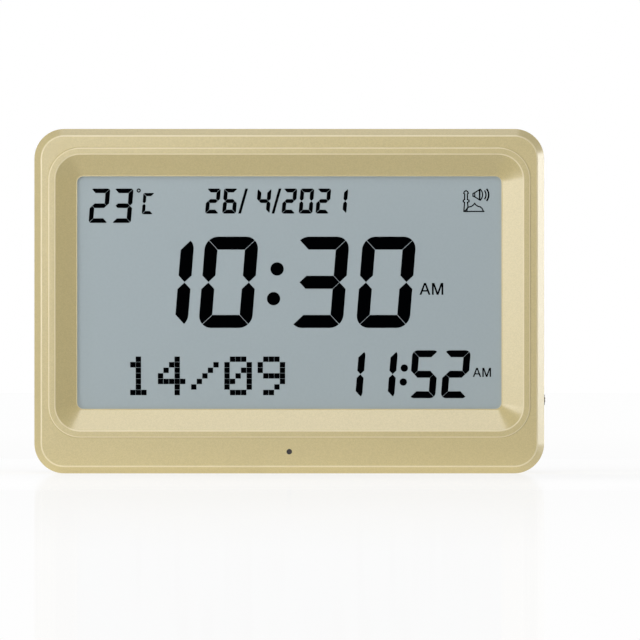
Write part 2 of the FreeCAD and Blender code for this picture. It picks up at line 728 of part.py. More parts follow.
def make_rear_cover():
    """The rear shell, with what is moulded inside it and sunk into its back."""
    cover = Piece("rear_cover")
    cover.add("block", parting_y, back_bevel_y, shell_outline(size(0)))
    cover.blend(
        "back_bevel",
        "Additive",
        back_bevel_y,
        shell_outline(size(0)),
        rear_y,
        shell_outline(S.back_bevel_width),
    )
    cover.cut("hollow", parting_y, back_wall_y, shell_outline(S.side_wall))
    cover.add(
        "tongue",
        parting_y - S.tongue_length,
        parting_y,
        shell_outline(S.side_wall - S.tongue_thickness),
        shell_outline(S.side_wall),
    )
    cover.cut(
        "shadow_line",
        parting_y,
        parting_y + S.reveal,
        shell_outline(size(-2)),
        shell_outline(S.reveal),
    )
    cover.cut("wheel_slot", parting_y - S.tongue_length, wheel_end_y + S.wheel_gap, wheel_slot())
    add_pillars(cover)
    add_battery_bay(cover)
    add_leg_nest(cover)
    add_speaker_seat(cover)
    add_button_panel(cover)
    add_keyholes(cover)
    add_collar_and_vents(cover)


def add_pillars(cover):
    """Pillars that carry the case screws, with counterbores for their heads."""
    cover.add("pillars", parting_y, back_wall_y, *posts(CASE_FIXINGS, S.boss_radius + 0.25))
    cover.cut("screw_holes", parting_y, rear_y, *posts(CASE_FIXINGS, S.case_hole))
    floor_y = parting_y + S.pillar_floor
    bores = [flats(x, z, S.case_head + 0.35, 16) for x, z in CASE_FIXINGS]
    cover.cut("counterbores", floor_y, rear_y, *bores)


def add_battery_bay(cover):
    """Compartment for the cells, with a ledge for its door and slots for the door's tongues."""
    outer = (bay_length + 2 * S.bay_wall, bay_height + 2 * S.bay_wall)
    ledge = (bay_length + 2 * S.door_ledge, bay_height + 2 * S.door_ledge)
    cover.add("bay", bay_floor_y, back_wall_y, box(bay_x, speaker_z, *outer))
    cover.cut("bay_hollow", bay_y, rear_y, box(bay_x, speaker_z, bay_length, bay_height))
    cover.cut("door_ledge", door_y, rear_y, box(bay_x, speaker_z, *ledge))
    cover.cut(
        "tongue_slots",
        door_y - 3.6,
        door_y - 0.6,
        *[box(x, bay_low - 1.2, 9, 3.2) for x in TONGUES],
    )
    cover.cut("thumb_hollow", rear_y - 1, rear_y, disc(bay_x, door_top + S.door_gap, 6.5))


def add_leg_nest(cover):
    """Hollow that the folding leg lies in, open at the base, with holes for its pivots."""
    outer_width = nest_width + 2 * S.nest_cheek
    outer_top = nest_top + S.nest_wall
    floor_y = nest_y - S.nest_wall
    cover.add("nest", floor_y, back_wall_y, box(0, (outer_top + 1) / 2, outer_width, outer_top - 1))
    cover.cut("nest_hollow", nest_y, rear_y, box(0, (nest_top - 1) / 2, nest_width, nest_top + 1))
    reach = nest_width / 2 + S.pivot_length + 0.2
    pivot_hole = disc(hinge_y, S.hinge_z, S.pivot_radius + S.running_gap)
    cover.cut("pivot_holes", -reach, reach, pivot_hole, plane="side")


def add_speaker_seat(cover):
    """Locating ring, screw posts and grille of the loudspeaker."""
    cover.add(
        "speaker_ring",
        back_wall_y - 1.4,
        back_wall_y,
        flats(speaker_x, speaker_z, S.speaker_radius + 1.5, SPEAKER_SIDES),
        flats(speaker_x, speaker_z, S.speaker_radius + 0.3, SPEAKER_SIDES),
    )
    fixings = speaker_fixings()
    cover.add("speaker_posts", seat_y, back_wall_y, *posts(fixings, 2.8))
    cover.cut("speaker_pilots", seat_y, back_wall_y + 1.6, *posts(fixings, S.small_shank))
    cover.cut("grille", back_wall_y, rear_y, *grille_slots())


def speaker_fixings():
    """Middles of the three posts that hold the loudspeaker's flange."""
    reach = S.speaker_radius + 3.6
    return [
        (
            speaker_x + reach * round(math.cos(math.radians(angle)), 5),
            speaker_z + reach * round(math.sin(math.radians(angle)), 5),
        )
        for angle in SPEAKER_ANGLES
    ]


def grille_slots():
    """Lying slots that fill a circle in front of the loudspeaker's cone."""
    count = int(S.grille_radius.number / S.grille_pitch.number)
    slots = []
    for index in range(-count, count + 1):
        share = index * S.grille_pitch.number / S.grille_radius.number
        width = 2 * S.grille_radius * round(math.sqrt(1 - share * share), 4)
        z = speaker_z + index * S.grille_pitch
        slots.append(box(speaker_x, z, width, S.grille_slot))
    return slots


def add_button_panel(cover):
    """Sunk panel with a hole for each button."""
    panel = bevelled(0, key_z, 4 * S.key_pitch + S.key_width + 8, S.key_height + 8, 3)
    cover.cut("button_panel", rear_y - S.key_sink, rear_y, panel)
    hole = (S.key_width + 2 * S.key_gap, S.key_height + 2 * S.key_gap, S.key_corner)
    holes = [bevelled(x, key_z, *hole) for x in KEY_PLACES]
    cover.cut("button_holes", back_wall_y, rear_y - S.key_sink, *holes)


def add_keyholes(cover):
    """Keyholes over pockets that keep the hanging screws away from the electronics."""
    foot_z = case_height - S.keyhole_drop
    middle_z = foot_z + S.keyhole_rise / 2
    width = 2 * S.keyhole_radius + 2.4
    height = width + S.keyhole_rise
    sides = [-S.keyhole_x, S.keyhole_x]
    pocket_y = back_wall_y - S.keyhole_depth
    shells = [box(x, middle_z, width + 2.4, height + 2.4) for x in sides]
    cover.add("keyhole_boxes", pocket_y - 1.2, back_wall_y, *shells)
    pockets = [box(x, middle_z, width, height) for x in sides]
    cover.cut("keyhole_pockets", pocket_y, back_wall_y, *pockets)
    entries = [disc(x, foot_z, S.keyhole_radius) for x in sides]
    cover.cut("keyhole_entries", back_wall_y, rear_y, *entries)
    slots = [slot(x, middle_z, S.keyhole_slot, S.keyhole_rise + S.keyhole_slot) for x in sides]
    cover.cut("keyhole_slots", back_wall_y, rear_y, *slots)


def add_collar_and_vents(cover):
    """Collar that leads a plug into the power socket, and air slots over the thermometer."""
    collar_y = board_back_y + S.socket_height + 0.3
    collar = flats(S.socket_x, S.socket_z, S.socket_radius + 0.8)
    cover.add("collar", collar_y, back_wall_y, collar)
    cover.cut("plug_hole", collar_y, rear_y, disc(S.socket_x, S.socket_z, S.socket_bore + 0.6))
    vents = [box(vent_x + 4 * (index - 2), S.vent_z, 1.6, 11) for index in range(5)]
    cover.cut("air_slots", back_wall_y, rear_y, *vents)


# ------------------------------------------------------------------ display


def make_display():
    """The panes, films and light guide, in order from the window backwards."""
    film = box(0, window_z, film_width, film_height)
    front_film = Piece("front_polarizer")
    front_film.add("film", film_y, front_glass_y, film)

    front_glass = Piece("front_glass")
    front_glass.add("pane", front_glass_y, rear_glass_y, box(0, ledge_z, glass_width, ledge_height))

    rear_glass = Piece("rear_glass")
    rear_glass.add("pane", rear_glass_y, rear_film_y, box(0, window_z, glass_width, glass_height))

    rear_film = Piece("rear_polarizer")
    rear_film.add("film", rear_film_y, guide_y, film)

    guide = Piece("light_guide")
    guide.add("plate", guide_y, holder_y, film)

    strip = Piece("backlight_strip")
    strip.add("strip", guide_y, holder_y, box(0, strip_z, 6 * S.lamp_pitch, S.lamp_board))

    lamps = Piece("backlight_lamps")
    lamp_row = [
        box((index - 2.5) * S.lamp_pitch, lamp_z + S.lamp_size / 2, S.lamp_length, S.lamp_size)
        for index in range(6)
    ]
    lamps.add("lamps", guide_y + 0.6, holder_y - 0.6, *lamp_row)

    zebra = Piece("contact_strip")
    zebra.add("strip", rear_glass_y, board_y, box(0, zebra_z, zebra_length, S.zebra_width))


def make_display_holder():
    """The tray that clamps the display to the lip and carries the circuit board."""
    wall = S.holder_wall
    holder = Piece("display_holder")
    outer = box(0, ledge_z, holder_width, holder_height)
    inner = box(0, ledge_z, holder_width - 2 * wall, holder_height - 2 * wall)
    holder.add("plate", holder_y, holder_back_y, outer)
    holder.add("edge", front_glass_y, holder_y, outer, inner)
    top_z = ledge_z + holder_height / 2
    low_z = ledge_z - holder_height / 2
    top_reach = ear_high + S.small_boss - top_z
    low_reach = low_z - ear_low + S.small_boss
    ears = [
        box(x, middle, S.ear_width, reach)
        for x in (-S.ear_x, S.ear_x)
        for middle, reach in (
            (top_z + top_reach / 2, top_reach),
            (low_z - low_reach / 2, low_reach),
        )
    ]
    holder.add("ears", holder_y, holder_back_y, *ears)
    holder.add("board_pads", holder_back_y, board_y, *posts(BOARD_FIXINGS, S.small_boss))
    strip_slot = box(0, zebra_z, zebra_length + 0.6, S.zebra_width + 0.6)
    holder.cut("strip_slot", holder_y, holder_back_y, strip_slot)
    holder.cut("ear_holes", holder_y, holder_back_y, *posts(HOLDER_FIXINGS, S.small_shank + 0.15))
    holder.cut("board_pilots", holder_y + 0.2, board_y, *posts(BOARD_FIXINGS, S.small_shank))
    screws(
        "holder_screws",
        holder_back_y,
        S.small_head,
        S.small_head_height,
        S.small_shank,
        S.holder_plate + 5,
        HOLDER_FIXINGS,
    )


# ------------------------------------------------------------------ electronics


def make_board():
    """The circuit board: a wide foot, a tall middle and a shelf for the volume control."""
    left, tower = S.board_width / 2, S.tower_width / 2
    shelf_x = wheel_x - S.wheel_radius - 1
    board = Piece("circuit_board")
    board.add(
        "board",
        board_y,
        board_back_y,
        polygon(
            (-left, S.board_foot_z),
            (board_right, S.board_foot_z),
            (board_right, shelf_top),
            (shelf_x, shelf_top),
            (shelf_x, foot_top),
            (tower, foot_top),
            (tower, board_top),
            (-tower, board_top),
            (-tower, foot_top),
            (-left, foot_top),
        ),
    )
    board.cut("holes", board_y, board_back_y, *posts(BOARD_FIXINGS, S.small_shank + 0.15))
    screws(
        "board_screws",
        board_back_y,
        S.small_head,
        S.small_head_height,
        S.small_shank,
        S.board_thickness + S.board_standoff + S.holder_plate - 0.4,
        BOARD_FIXINGS,
    )


def make_board_parts():
    """What is soldered to the board, apart from the controls."""
    chip = Piece("clock_chip")
    chip_z = key_z - 20
    crown_y = board_back_y + S.chip_height
    chip.add("resin", board_back_y, crown_y, flats(0, chip_z, S.chip_radius, 16))
    chip.bevel("shoulder", S.chip_height * 0.7, crown_y)

    low_z = S.hinge_z - 20
    voice = Piece("voice_chip")
    voice.add("package", board_back_y, board_back_y + 1.75, box(-14, low_z, 10.3, 7.5))
    crystal = Piece("crystal")
    crystal.add("can", board_back_y, board_back_y + 3.5, bevelled(16, low_z, 10.2, 3.8, 1.2))
    capacitors = Piece("capacitors")
    cans = [flats(x, S.hinge_z - 36, 2.5, 16) for x in (-16, 0, 16)]
    capacitors.add("cans", board_back_y, board_back_y + 5.2, *cans)

    legs = [box(vent_x + offset, S.vent_z, 0.6, 0.6) for offset in (-0.8, 0.8)]
    thermometer = Piece("thermometer")
    thermometer.add("legs", board_back_y, board_back_y + 6, *legs)
    bead = bevelled(vent_x, S.vent_z, 3.2, 2, 0.6)
    thermometer.add("bead", board_back_y + 6, board_back_y + 9, bead)

    centre = (S.socket_x, S.socket_z)
    end_y = board_back_y + S.socket_height
    floor_y = board_back_y + 2
    socket = Piece("power_socket")
    socket.add("body", board_back_y, end_y, flats(*centre, S.socket_radius, 16))
    socket.cut("mouth", floor_y, end_y, disc(*centre, S.socket_bore))
    pin = Piece("socket_pin")
    pin.add("pin", floor_y, end_y - 1, flats(*centre, S.socket_pin, 12))


def make_buttons():
    """Five buttons, each over the plunger of a tactile switch on the board."""
    sites = [(x, key_z) for x in KEY_PLACES]
    foot_y = switch_y - 0.4
    switches = Piece("switches")
    squares = [box(x, z, S.switch_side, S.switch_side) for x, z in sites]
    switches.add("bodies", board_back_y, switch_y, *squares)
    wells = posts(sites, S.plunger_radius + S.running_gap)
    switches.cut("wells", foot_y - S.key_travel - 0.6, switch_y, *wells)
    for name, x in zip(BUTTONS, KEY_PLACES):
        plunger = Piece(f"{name}_plunger")
        plunger.add("plunger", foot_y, plunger_y, flats(x, key_z, S.plunger_radius))

        button = Piece(f"{name}_button")
        flange = bevelled(x, key_z, S.key_width + 1.8, S.key_height + 1.8, S.key_corner)
        cap = bevelled(x, key_z, S.key_width, S.key_height, S.key_corner)
        stem = flats(x, key_z, S.plunger_radius + 0.4)
        button.add("stem", plunger_y, flange_y - S.key_flange, stem)
        button.add("flange", flange_y - S.key_flange, flange_y, flange)
        button.add("cap", flange_y, button_y, cap)
        button.bevel("cap_edge", S.key_bevel, button_y)


def make_volume_control():
    """The volume control on the board's shelf, its spindle and the knurled thumbwheel."""
    centre = (wheel_x, S.wheel_z)
    shoulder_y = board_back_y + S.pot_height
    web_y = wheel_end_y - 0.6
    bore_y = wheel_end_y - 2.2
    pot = Piece("volume_control")
    pot.add("body", board_back_y, shoulder_y, flats(*centre, S.pot_radius, 16))
    well = disc(*centre, S.spindle_radius + S.running_gap)
    pot.cut("well", board_back_y + 0.4, shoulder_y, well)

    spindle = Piece("volume_spindle")
    spindle.add("spindle", board_back_y + 0.5, web_y, disc(*centre, S.spindle_radius))
    spindle.cut("thread", bore_y, web_y, flats(*centre, S.small_shank))

    wheel = Piece("volume_wheel")
    rim = flats(0, 0, S.wheel_radius, int(S.wheel_teeth.number))
    wheel.add("rim", wheel_y, wheel_end_y, rim)
    wheel.cut("bore", wheel_y, web_y, disc(0, 0, S.spindle_radius))
    wheel.cut("screw_hole", web_y, wheel_end_y, flats(0, 0, S.small_shank))
    groove = [flats(0, 0, S.wheel_radius - margin, 20) for margin in (1.4, 4.8)]
    wheel.cut("face_groove", wheel_end_y - 0.5, wheel_end_y, *groove)
    notch = polygon(
        (S.wheel_radius - S.tooth_depth, 0),
        (S.wheel_radius + 0.3, -0.42),
        (S.wheel_radius + 0.3, 0.42),
    )
    wheel.repeat("knurl", wheel.cut("notch", wheel_y, wheel_end_y, notch), S.wheel_teeth)
    wheel.place(wheel_x, 0, S.wheel_z)

    screws(
        "wheel_screw",
        wheel_end_y,
        S.small_head,
        S.small_head_height * 0.7,
        S.small_shank,
        size(2),
        [centre],
    )


def make_sensor():
    """The light sensor: a dark lens in the lower border and a small board behind it."""
    flange_end = wall_y + 0.8
    board_end = post_y + S.sensor_board
    lens = Piece("sensor_lens")
    lens.add("window", flat_y + 0.1, wall_y, disc(0, S.sensor_z, S.sensor_hole - 0.03))
    lens.add("flange", wall_y, flange_end, flats(0, S.sensor_z, S.sensor_hole + 1))
    cell = Piece("light_sensor")
    cell.add("cell", flange_end, post_y, flats(0, S.sensor_z, 1.5))
    board = Piece("sensor_board")
    board.add("board", post_y, board_end, box(0, S.sensor_z, 2 * S.sensor_feet + 6, 8.8))
    board.cut("holes", post_y, board_end, *posts(SENSOR_FIXINGS, S.small_shank))
    screws(
        "sensor_screws",
        board_end,
        S.small_head * 0.85,
        S.small_head_height * 0.8,
        S.small_shank * 0.8,
        S.sensor_board + S.sensor_post - 0.4,
        SENSOR_FIXINGS,
    )


# ------------------------------------------------------------------ loudspeaker


def make_speaker():
    """A small loudspeaker that faces the grille, with its magnet towards the display."""
    r = S.speaker_radius
    gasket_y = back_wall_y - S.gasket
    plate_y = yoke_y + 6.1
    sheet_t = S.basket_sheet

    def ring(radius):
        return flats(0, 0, radius, SPEAKER_SIDES)

    gasket = Piece("speaker_gasket")
    gasket.add("ring", gasket_y, back_wall_y, ring(r), ring(r - 3.2))

    basket = Piece("speaker_basket")
    bowl_r, foot_r, inside_y = r - 2.6, r * 0.57, plate_y + sheet_t
    basket.add("bowl", plate_y, basket_y, ring(bowl_r))
    basket.bevel("bowl_slope", bowl_r - foot_r, plate_y, depth=seat_y - plate_y)
    floor_r = r * 0.54
    basket.cut("inside", inside_y, basket_y, ring(floor_r))
    basket.bevel(
        "inside_slope",
        bowl_r - 0.6 - floor_r,
        basket_y,
        depth=basket_y - inside_y - 0.1,
        mouth=floor_r.number,
    )
    basket.add("flange", seat_y, basket_y, ring(r), ring(bowl_r - 0.6))
    basket.cut("throat", plate_y, inside_y, ring(r * 0.29))
    tag_y = seat_y - 4.3
    basket.add("tag", tag_y, tag_y + 2, box(5.8 - r, 0, 5.2, 7))

    cone_r, throat_r = r - 4, r * 0.25
    cone_foot_y = basket_y - 5.7
    cone = Piece("speaker_cone")
    cone.add("cone", cone_foot_y, gasket_y, ring(cone_r))
    cone.bevel("outer_slope", cone_r - throat_r, cone_foot_y, depth=basket_y - cone_foot_y)
    cone.cut("throat", cone_foot_y + 0.5, gasket_y, ring(throat_r))
    cone.bevel(
        "inner_slope",
        cone_r - 0.5 - throat_r,
        gasket_y,
        depth=gasket_y - cone_foot_y - 0.6,
        mouth=throat_r.number,
    )
    cone.add("edge", basket_y, gasket_y, ring(r - 1), ring(cone_r - 0.4))
    cone.add("dust_cap", cone_foot_y + 0.5, cone_foot_y + 1.9, ring(throat_r * 0.8))

    plate = Piece("speaker_top_plate")
    plate.add("ring", plate_y - 1, plate_y, ring(r * 0.5), ring(r * 0.27))
    magnet = Piece("speaker_magnet")
    magnet.add("ring", yoke_y + 1, plate_y - 1, ring(r * 0.56), ring(r * 0.3))
    yoke = Piece("speaker_yoke")
    yoke.add("disc", yoke_y, yoke_y + 1, ring(r * 0.5))
    yoke.add("pole", yoke_y + 1, plate_y, ring(r * 0.23))
    for piece in (gasket, basket, cone, plate, magnet, yoke):
        piece.place(speaker_x, 0, speaker_z)
    screws(
        "speaker_screws",
        seat_y,
        size(4.8),
        S.small_head_height,
        S.small_shank,
        size(3),
        speaker_fixings(),
        towards=1,
    )


# ------------------------------------------------------------------ cells and door


def make_cells():
    """Three AA cells; the middle one lies the opposite way to its neighbours."""
    cells = Piece("battery_cells")
    for index, z in enumerate(CELL_HEIGHTS):
        if index == 1:
            start = bay_left + S.contact_sheet + 0.05
            tube = (start + S.cell_cap, start + S.cell_length)
            cap = (start, start + S.cell_cap)
        else:
            start = bay_left + S.spring_room
            cap = (start + S.cell_length - S.cell_cap, start + S.cell_length)
            tube = (start, start + S.cell_length - S.cell_cap)
        cells.add(f"cell_{index + 1}", *tube, flats(cell_y, z, S.cell_radius, 20), plane="side")
        cells.add(f"cap_{index + 1}", *cap, flats(cell_y, z, 2.7, 12), plane="side")


def make_contacts():
    """Sheet contacts that join the cells in a row, bent out towards each flat end."""
    low, mid, high = CELL_HEIGHTS
    tab = 11
    link = S.cell_pitch + tab
    sheet_t = S.contact_sheet
    for label, wall, inward, pair_z, single_z, springs in (
        ("left_contacts", bay_left, 1, (mid + high) / 2, low, (low, high)),
        ("right_contacts", bay_right, -1, (low + mid) / 2, high, (mid,)),
    ):
        face = wall + inward * sheet_t
        near = (wall, face) if inward == 1 else (face, wall)
        contact = Piece(label)
        plates = [box(cell_y, pair_z, tab, link), box(cell_y, single_z, tab, tab)]
        contact.add("plates", *near, *plates, plane="side")
        crown = wall + inward * (S.spring_room - 0.02)
        under = crown - inward * sheet_t
        arch = polygon(
            (face, cell_y - 5),
            (crown, cell_y - 0.8),
            (crown, cell_y + 0.8),
            (face, cell_y + 5),
            (face, cell_y + 4.3),
            (under, cell_y + 0.4),
            (under, cell_y - 0.4),
            (face, cell_y - 4.3),
        )
        for index, z in enumerate(springs, start=1):
            contact.add(f"arch_{index}", z - 3, z + 3, arch, plane="top")


def make_battery_door():
    """The door of the compartment: two tongues below, a springy thumb latch above."""
    door = Piece("battery_door")
    door.add("plate", door_y, rear_y, box(bay_x, speaker_z, door_width, door_height))
    door.bevel("edge", S.door_bevel, rear_y)
    roots = [box(x, bay_low + 1.15, 8, 1.7) for x in TONGUES]
    toes = [box(x, bay_low - 0.45, 8, 3.5) for x in TONGUES]
    door.add("tongue_roots", door_y - 2, door_y, *roots)
    door.add("tongues", door_y - 2, door_y - 0.8, *toes)
    latch = 14
    door.add("latch", door_y - 1.2, door_y, box(bay_x, door_top - 3.2, latch, 1.2))
    slit_x = latch / 2 + 0.4
    slits = [box(bay_x + sign * slit_x, door_top - 5, 0.8, 11) for sign in (-1, 1)]
    door.cut("slits", door_y, rear_y, *slits)
    door.cut("thumb_rest", rear_y - 0.7, rear_y, box(bay_x, door_top - 4, latch, 8.5))
    ridges = [box(bay_x, door_top - 1.6 - 1.7 * step, latch - 3, 0.7) for step in range(4)]
    door.add("ridges", rear_y - 0.7, rear_y - 0.1, *ridges)


# ------------------------------------------------------------------ folding leg


def make_leg():
    """The folding leg: a ribbed plate with a barrel, a stopping heel and two pivots."""
    half = S.leg_width / 2
    foot = S.leg_foot
    heel_top = S.hinge_z + S.heel_height
    leg = Piece("folding_leg")
    leg.add(
        "plate",
        leg_y,
        leg_end_y,
        polygon(
            (4 - half, foot),
            (half - 4, foot),
            (half, foot + 5),
            (half, heel_top),
            (-half, heel_top),
            (-half, foot + 5),
        ),
    )
    barrel = disc(hinge_y, S.hinge_z, S.barrel_radius - 0.02)
    leg.add("barrel", -half, half, barrel, plane="side")
    pivot_end = half + S.pivot_length
    pivot = disc(hinge_y, S.hinge_z, S.pivot_radius)
    leg.add("pivots", -pivot_end, pivot_end, pivot, plane="side")
    rib_low, rib_high = foot + 8, S.hinge_z - 8
    ribs = [box(x, (rib_low + rib_high) / 2, 1.6, rib_high - rib_low) for x in (4 - half, 0, half - 4)]
    leg.add("ribs", nest_y + 0.4, leg_y, *ribs)
    toe = polygon((leg_end_y - 2.2, foot), (leg_end_y, foot), (leg_end_y, foot + 3))
    leg.cut("toe_bevel", -half, half, toe, plane="side")
    grips = [box(0, foot + 6 + 2.2 * step, half, 0.9) for step in range(4)]
    leg.cut("grip_grooves", leg_end_y - 0.5, leg_end_y, *grips)


# ------------------------------------------------------------------ assembly


def check_and_write():
    """Recomputes, tests every object and writes each piece to its own STEP file."""
    doc.recompute()
    for item in doc.Objects:
        if "Invalid" in item.State or "Error" in item.State:
            raise RuntimeError(f"{item.Label} ({item.Name}) did not recompute")
        if item.TypeId in ("PartDesign::Pocket", "PartDesign::SubtractiveLoft"):
            if item.Shape.Volume >= item.BaseFeature.Shape.Volume - 1e-6:
                raise RuntimeError(f"{item.Name} removes nothing")
    os.makedirs("parts", exist_ok=True)
    for item in doc.Objects:
        if item.TypeId != "PartDesign::Body":
            continue
        shape = item.Shape
        if shape.isNull() or not shape.isValid() or not shape.Solids:
            raise RuntimeError(f"{item.Label} is not a valid solid")
        shape.exportStep(f"parts/{item.Label}.step")


make_front_case()
make_rear_cover()
make_display()
make_display_holder()
make_board()
make_board_parts()
make_buttons()
make_volume_control()
make_sensor()
make_speaker()
make_cells()
make_contacts()
make_battery_door()
make_leg()
screws(
    "case_screws",
    parting_y + S.pillar_floor,
    S.case_head,
    S.case_head_height,
    S.case_shank,
    S.case_shank_length,
    CASE_FIXINGS,
)
check_and_write()
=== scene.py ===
"""Digital prayer-time clock in champagne-gold paint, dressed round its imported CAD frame.

Metres; +X is to the right for someone who reads the display, which faces -Y, and +Z is up.
"""

import math

import bmesh
import bpy
from mathutils import Matrix, Vector


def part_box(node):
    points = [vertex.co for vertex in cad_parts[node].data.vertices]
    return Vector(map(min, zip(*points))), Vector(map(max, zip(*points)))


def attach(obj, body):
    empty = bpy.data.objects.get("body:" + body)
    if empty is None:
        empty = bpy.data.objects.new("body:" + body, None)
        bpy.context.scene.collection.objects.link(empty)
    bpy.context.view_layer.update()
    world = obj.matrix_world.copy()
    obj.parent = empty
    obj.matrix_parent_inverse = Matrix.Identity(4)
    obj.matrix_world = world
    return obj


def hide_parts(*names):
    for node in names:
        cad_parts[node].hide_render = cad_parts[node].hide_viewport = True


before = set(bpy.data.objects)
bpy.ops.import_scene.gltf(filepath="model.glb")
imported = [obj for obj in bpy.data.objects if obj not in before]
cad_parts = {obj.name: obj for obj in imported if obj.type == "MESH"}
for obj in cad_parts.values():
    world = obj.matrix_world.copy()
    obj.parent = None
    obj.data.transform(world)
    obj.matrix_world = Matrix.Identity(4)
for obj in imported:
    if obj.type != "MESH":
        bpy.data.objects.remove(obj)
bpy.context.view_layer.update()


# Front case. One moulded shell in a satin gold paint full of fine flakes, with a painted highlight in
# a lighter colour on its rounded edges. It has a bevel, a flat border, a raised rim, and a frame that
# slopes to a thin lip round the display.
# It is lofted from rounded rectangles, then cut for the light sensor and for the thumbwheel.

mm = 0.001
case_low, case_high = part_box("front_case")
film_low, film_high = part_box("front_polarizer")
film_margin = 3 * mm
window = (
    film_low.x + film_margin,
    film_high.x - film_margin,
    film_low.z + film_margin,
    film_high.z - film_margin,
)
outside = (case_low.x, case_high.x, case_low.z, case_high.z)
front_y, parting_y = case_low.y, case_high.y
flat_y = front_y + 0.4 * mm
bevel_y = front_y + 4.6 * mm
inner_y = front_y + 2.8 * mm
film_y = film_low.y
window_y = film_y - 1.0 * mm
bevel_width, wall, land, lip = 3.1 * mm, 2.4 * mm, 2.8 * mm, 0.45 * mm
slope_width, rim_width = 9.95 * mm, 3.3 * mm
case_radius, window_radius, recess_radius = 13.5 * mm, 2.8 * mm, 11.4 * mm
step, step_run = 0.03 * mm, 0.5 * mm
sensor_hole_radius, notch_inset, wheel_room = 1.25 * mm, 1.1 * mm, 0.4 * mm
past_wall = 1 * mm


def grown(edges, margin):
    """The four edges (left, right, low, high) of a rectangle, moved outwards by a margin."""
    left, right, low, high = edges
    return left - margin, right + margin, low - margin, high + margin


def rounded_loop(bm, edges, radius, y, steps=14):
    """A closed loop of edges square to Y: a rectangle whose corners are bevelled round."""
    left, right, low, high = edges
    corners = [(left, low), (right, low), (right, high), (left, high)]
    face = bm.faces.new([bm.verts.new((x, y, z)) for x, z in corners])
    made = bmesh.ops.bevel(
        bm,
        geom=list(face.verts),
        offset=radius,
        offset_type="OFFSET",
        affect="VERTICES",
        segments=steps,
        profile=0.5,
        material=-1,
    )
    face = made["verts"][0].link_faces[0]
    loop = list(face.edges)
    bmesh.ops.delete(bm, geom=[face], context="FACES_ONLY")
    return loop


def shell_of(bm, loops):
    """Joins each loop to the next and the last one to the first, as one closed shell.

    No two neighbours lie in one plane, because there the operator can turn one of them round.
    """
    for near, far in zip(loops, loops[1:] + loops[:1]):
        bmesh.ops.bridge_loops(bm, edges=near + far)
    bmesh.ops.recalc_face_normals(bm, faces=bm.faces)


def finished(name, bm, material, body="case", smooth=True):
    """Makes a piece from a bmesh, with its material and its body."""
    mesh = bpy.data.meshes.new(name)
    bm.to_mesh(mesh)
    bm.free()
    for face in mesh.polygons:
        face.use_smooth = smooth
    mesh.materials.append(material)
    piece = bpy.data.objects.new(name, mesh)
    bpy.context.scene.collection.objects.link(piece)
    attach(piece, body)
    return piece


def ease_edges(piece, width, segments=3, angle=20):
    """Rounds every sharp edge of a piece a little, so that it catches the light."""
    bevel = piece.modifiers.new("eased edges", "BEVEL")
    bevel.width = width
    bevel.segments = segments
    bevel.limit_method = "ANGLE"
    bevel.angle_limit = math.radians(angle)
    bevel.use_clamp_overlap = True
    piece.modifiers.new("even shading", "WEIGHTED_NORMAL")


def carve(piece, cutter_bm):
    """Cuts the shape of another bmesh out of a piece, before its modifiers are added."""
    mesh = bpy.data.meshes.new("cutter")
    bmesh.ops.recalc_face_normals(cutter_bm, faces=cutter_bm.faces)
    cutter_bm.to_mesh(mesh)
    cutter_bm.free()
    cutter = bpy.data.objects.new("cutter", mesh)
    bpy.context.scene.collection.objects.link(cutter)
    cut = piece.modifiers.new("cut", "BOOLEAN")
    cut.operation = "DIFFERENCE"
    cut.solver = "EXACT"
    cut.object = cutter
    bpy.context.view_layer.update()
    result = piece.evaluated_get(bpy.context.evaluated_depsgraph_get())
    whole = bpy.data.meshes.new_from_object(result)
    piece.modifiers.remove(cut)
    old = piece.data
    whole.name = old.name
    piece.data = whole
    bpy.data.meshes.remove(old)
    bpy.data.objects.remove(cutter)


def block(bm, low, high):
    """Adds a closed box between two corners to a bmesh."""
    low, high = Vector(low), Vector(high)
    place = Matrix.Translation((low + high) / 2) @ Matrix.Diagonal((*(high - low), 1))
    bmesh.ops.create_cube(bm, size=1, matrix=place)


def rod(bm, x, z, radius, low_y, high_y):
    """Adds a closed round bar along Y to a bmesh."""
    place = Matrix.Translation((x, (low_y + high_y) / 2, z)) @ Matrix.Rotation(math.pi / 2, 4, "X")
    bmesh.ops.create_cone(
        bm,
        cap_ends=True,
        segments=48,
        radius1=radius,
        radius2=radius,
        depth=high_y - low_y,
        matrix=place,
    )


def material_with_grain(name, dark, light, grain, roughness, relief=0.0, metallic=0.0, cells=False):
    """A finish whose colour wanders between two shades at the size of its grain."""
    material = bpy.data.materials.new(name)
    material.use_nodes = True
    nodes, links = material.node_tree.nodes, material.node_tree.links
    shader = nodes["Principled BSDF"]
    shader.inputs["Roughness"].default_value = roughness
    shader.inputs["Metallic"].default_value = metallic
    place = nodes.new("ShaderNodeTexCoord")
    if cells:
        pattern = nodes.new("ShaderNodeTexVoronoi")
        value = nodes.new("ShaderNodeSeparateColor")
        links.new(pattern.outputs["Color"], value.inputs["Color"])
        value = value.outputs["Red"]
    else:
        pattern = nodes.new("ShaderNodeTexNoise")
        pattern.inputs["Detail"].default_value = 3
        value = pattern.outputs["Fac"]
    pattern.inputs["Scale"].default_value = 1 / grain
    links.new(place.outputs["Object"], pattern.inputs["Vector"])
    shades = nodes.new("ShaderNodeValToRGB")
    for stop, position, shade in zip(shades.color_ramp.elements, (0.25, 0.75), (dark, light)):
        stop.position = position
        stop.color = (*shade, 1)
    links.new(value, shades.inputs["Fac"])
    links.new(shades.outputs["Color"], shader.inputs["Base Color"])
    if relief:
        bump = nodes.new("ShaderNodeBump")
        bump.inputs["Distance"].default_value = relief
        bump.inputs["Strength"].default_value = 0.5
        links.new(value, bump.inputs["Height"])
        links.new(bump.outputs["Normal"], shader.inputs["Normal"])
    return material


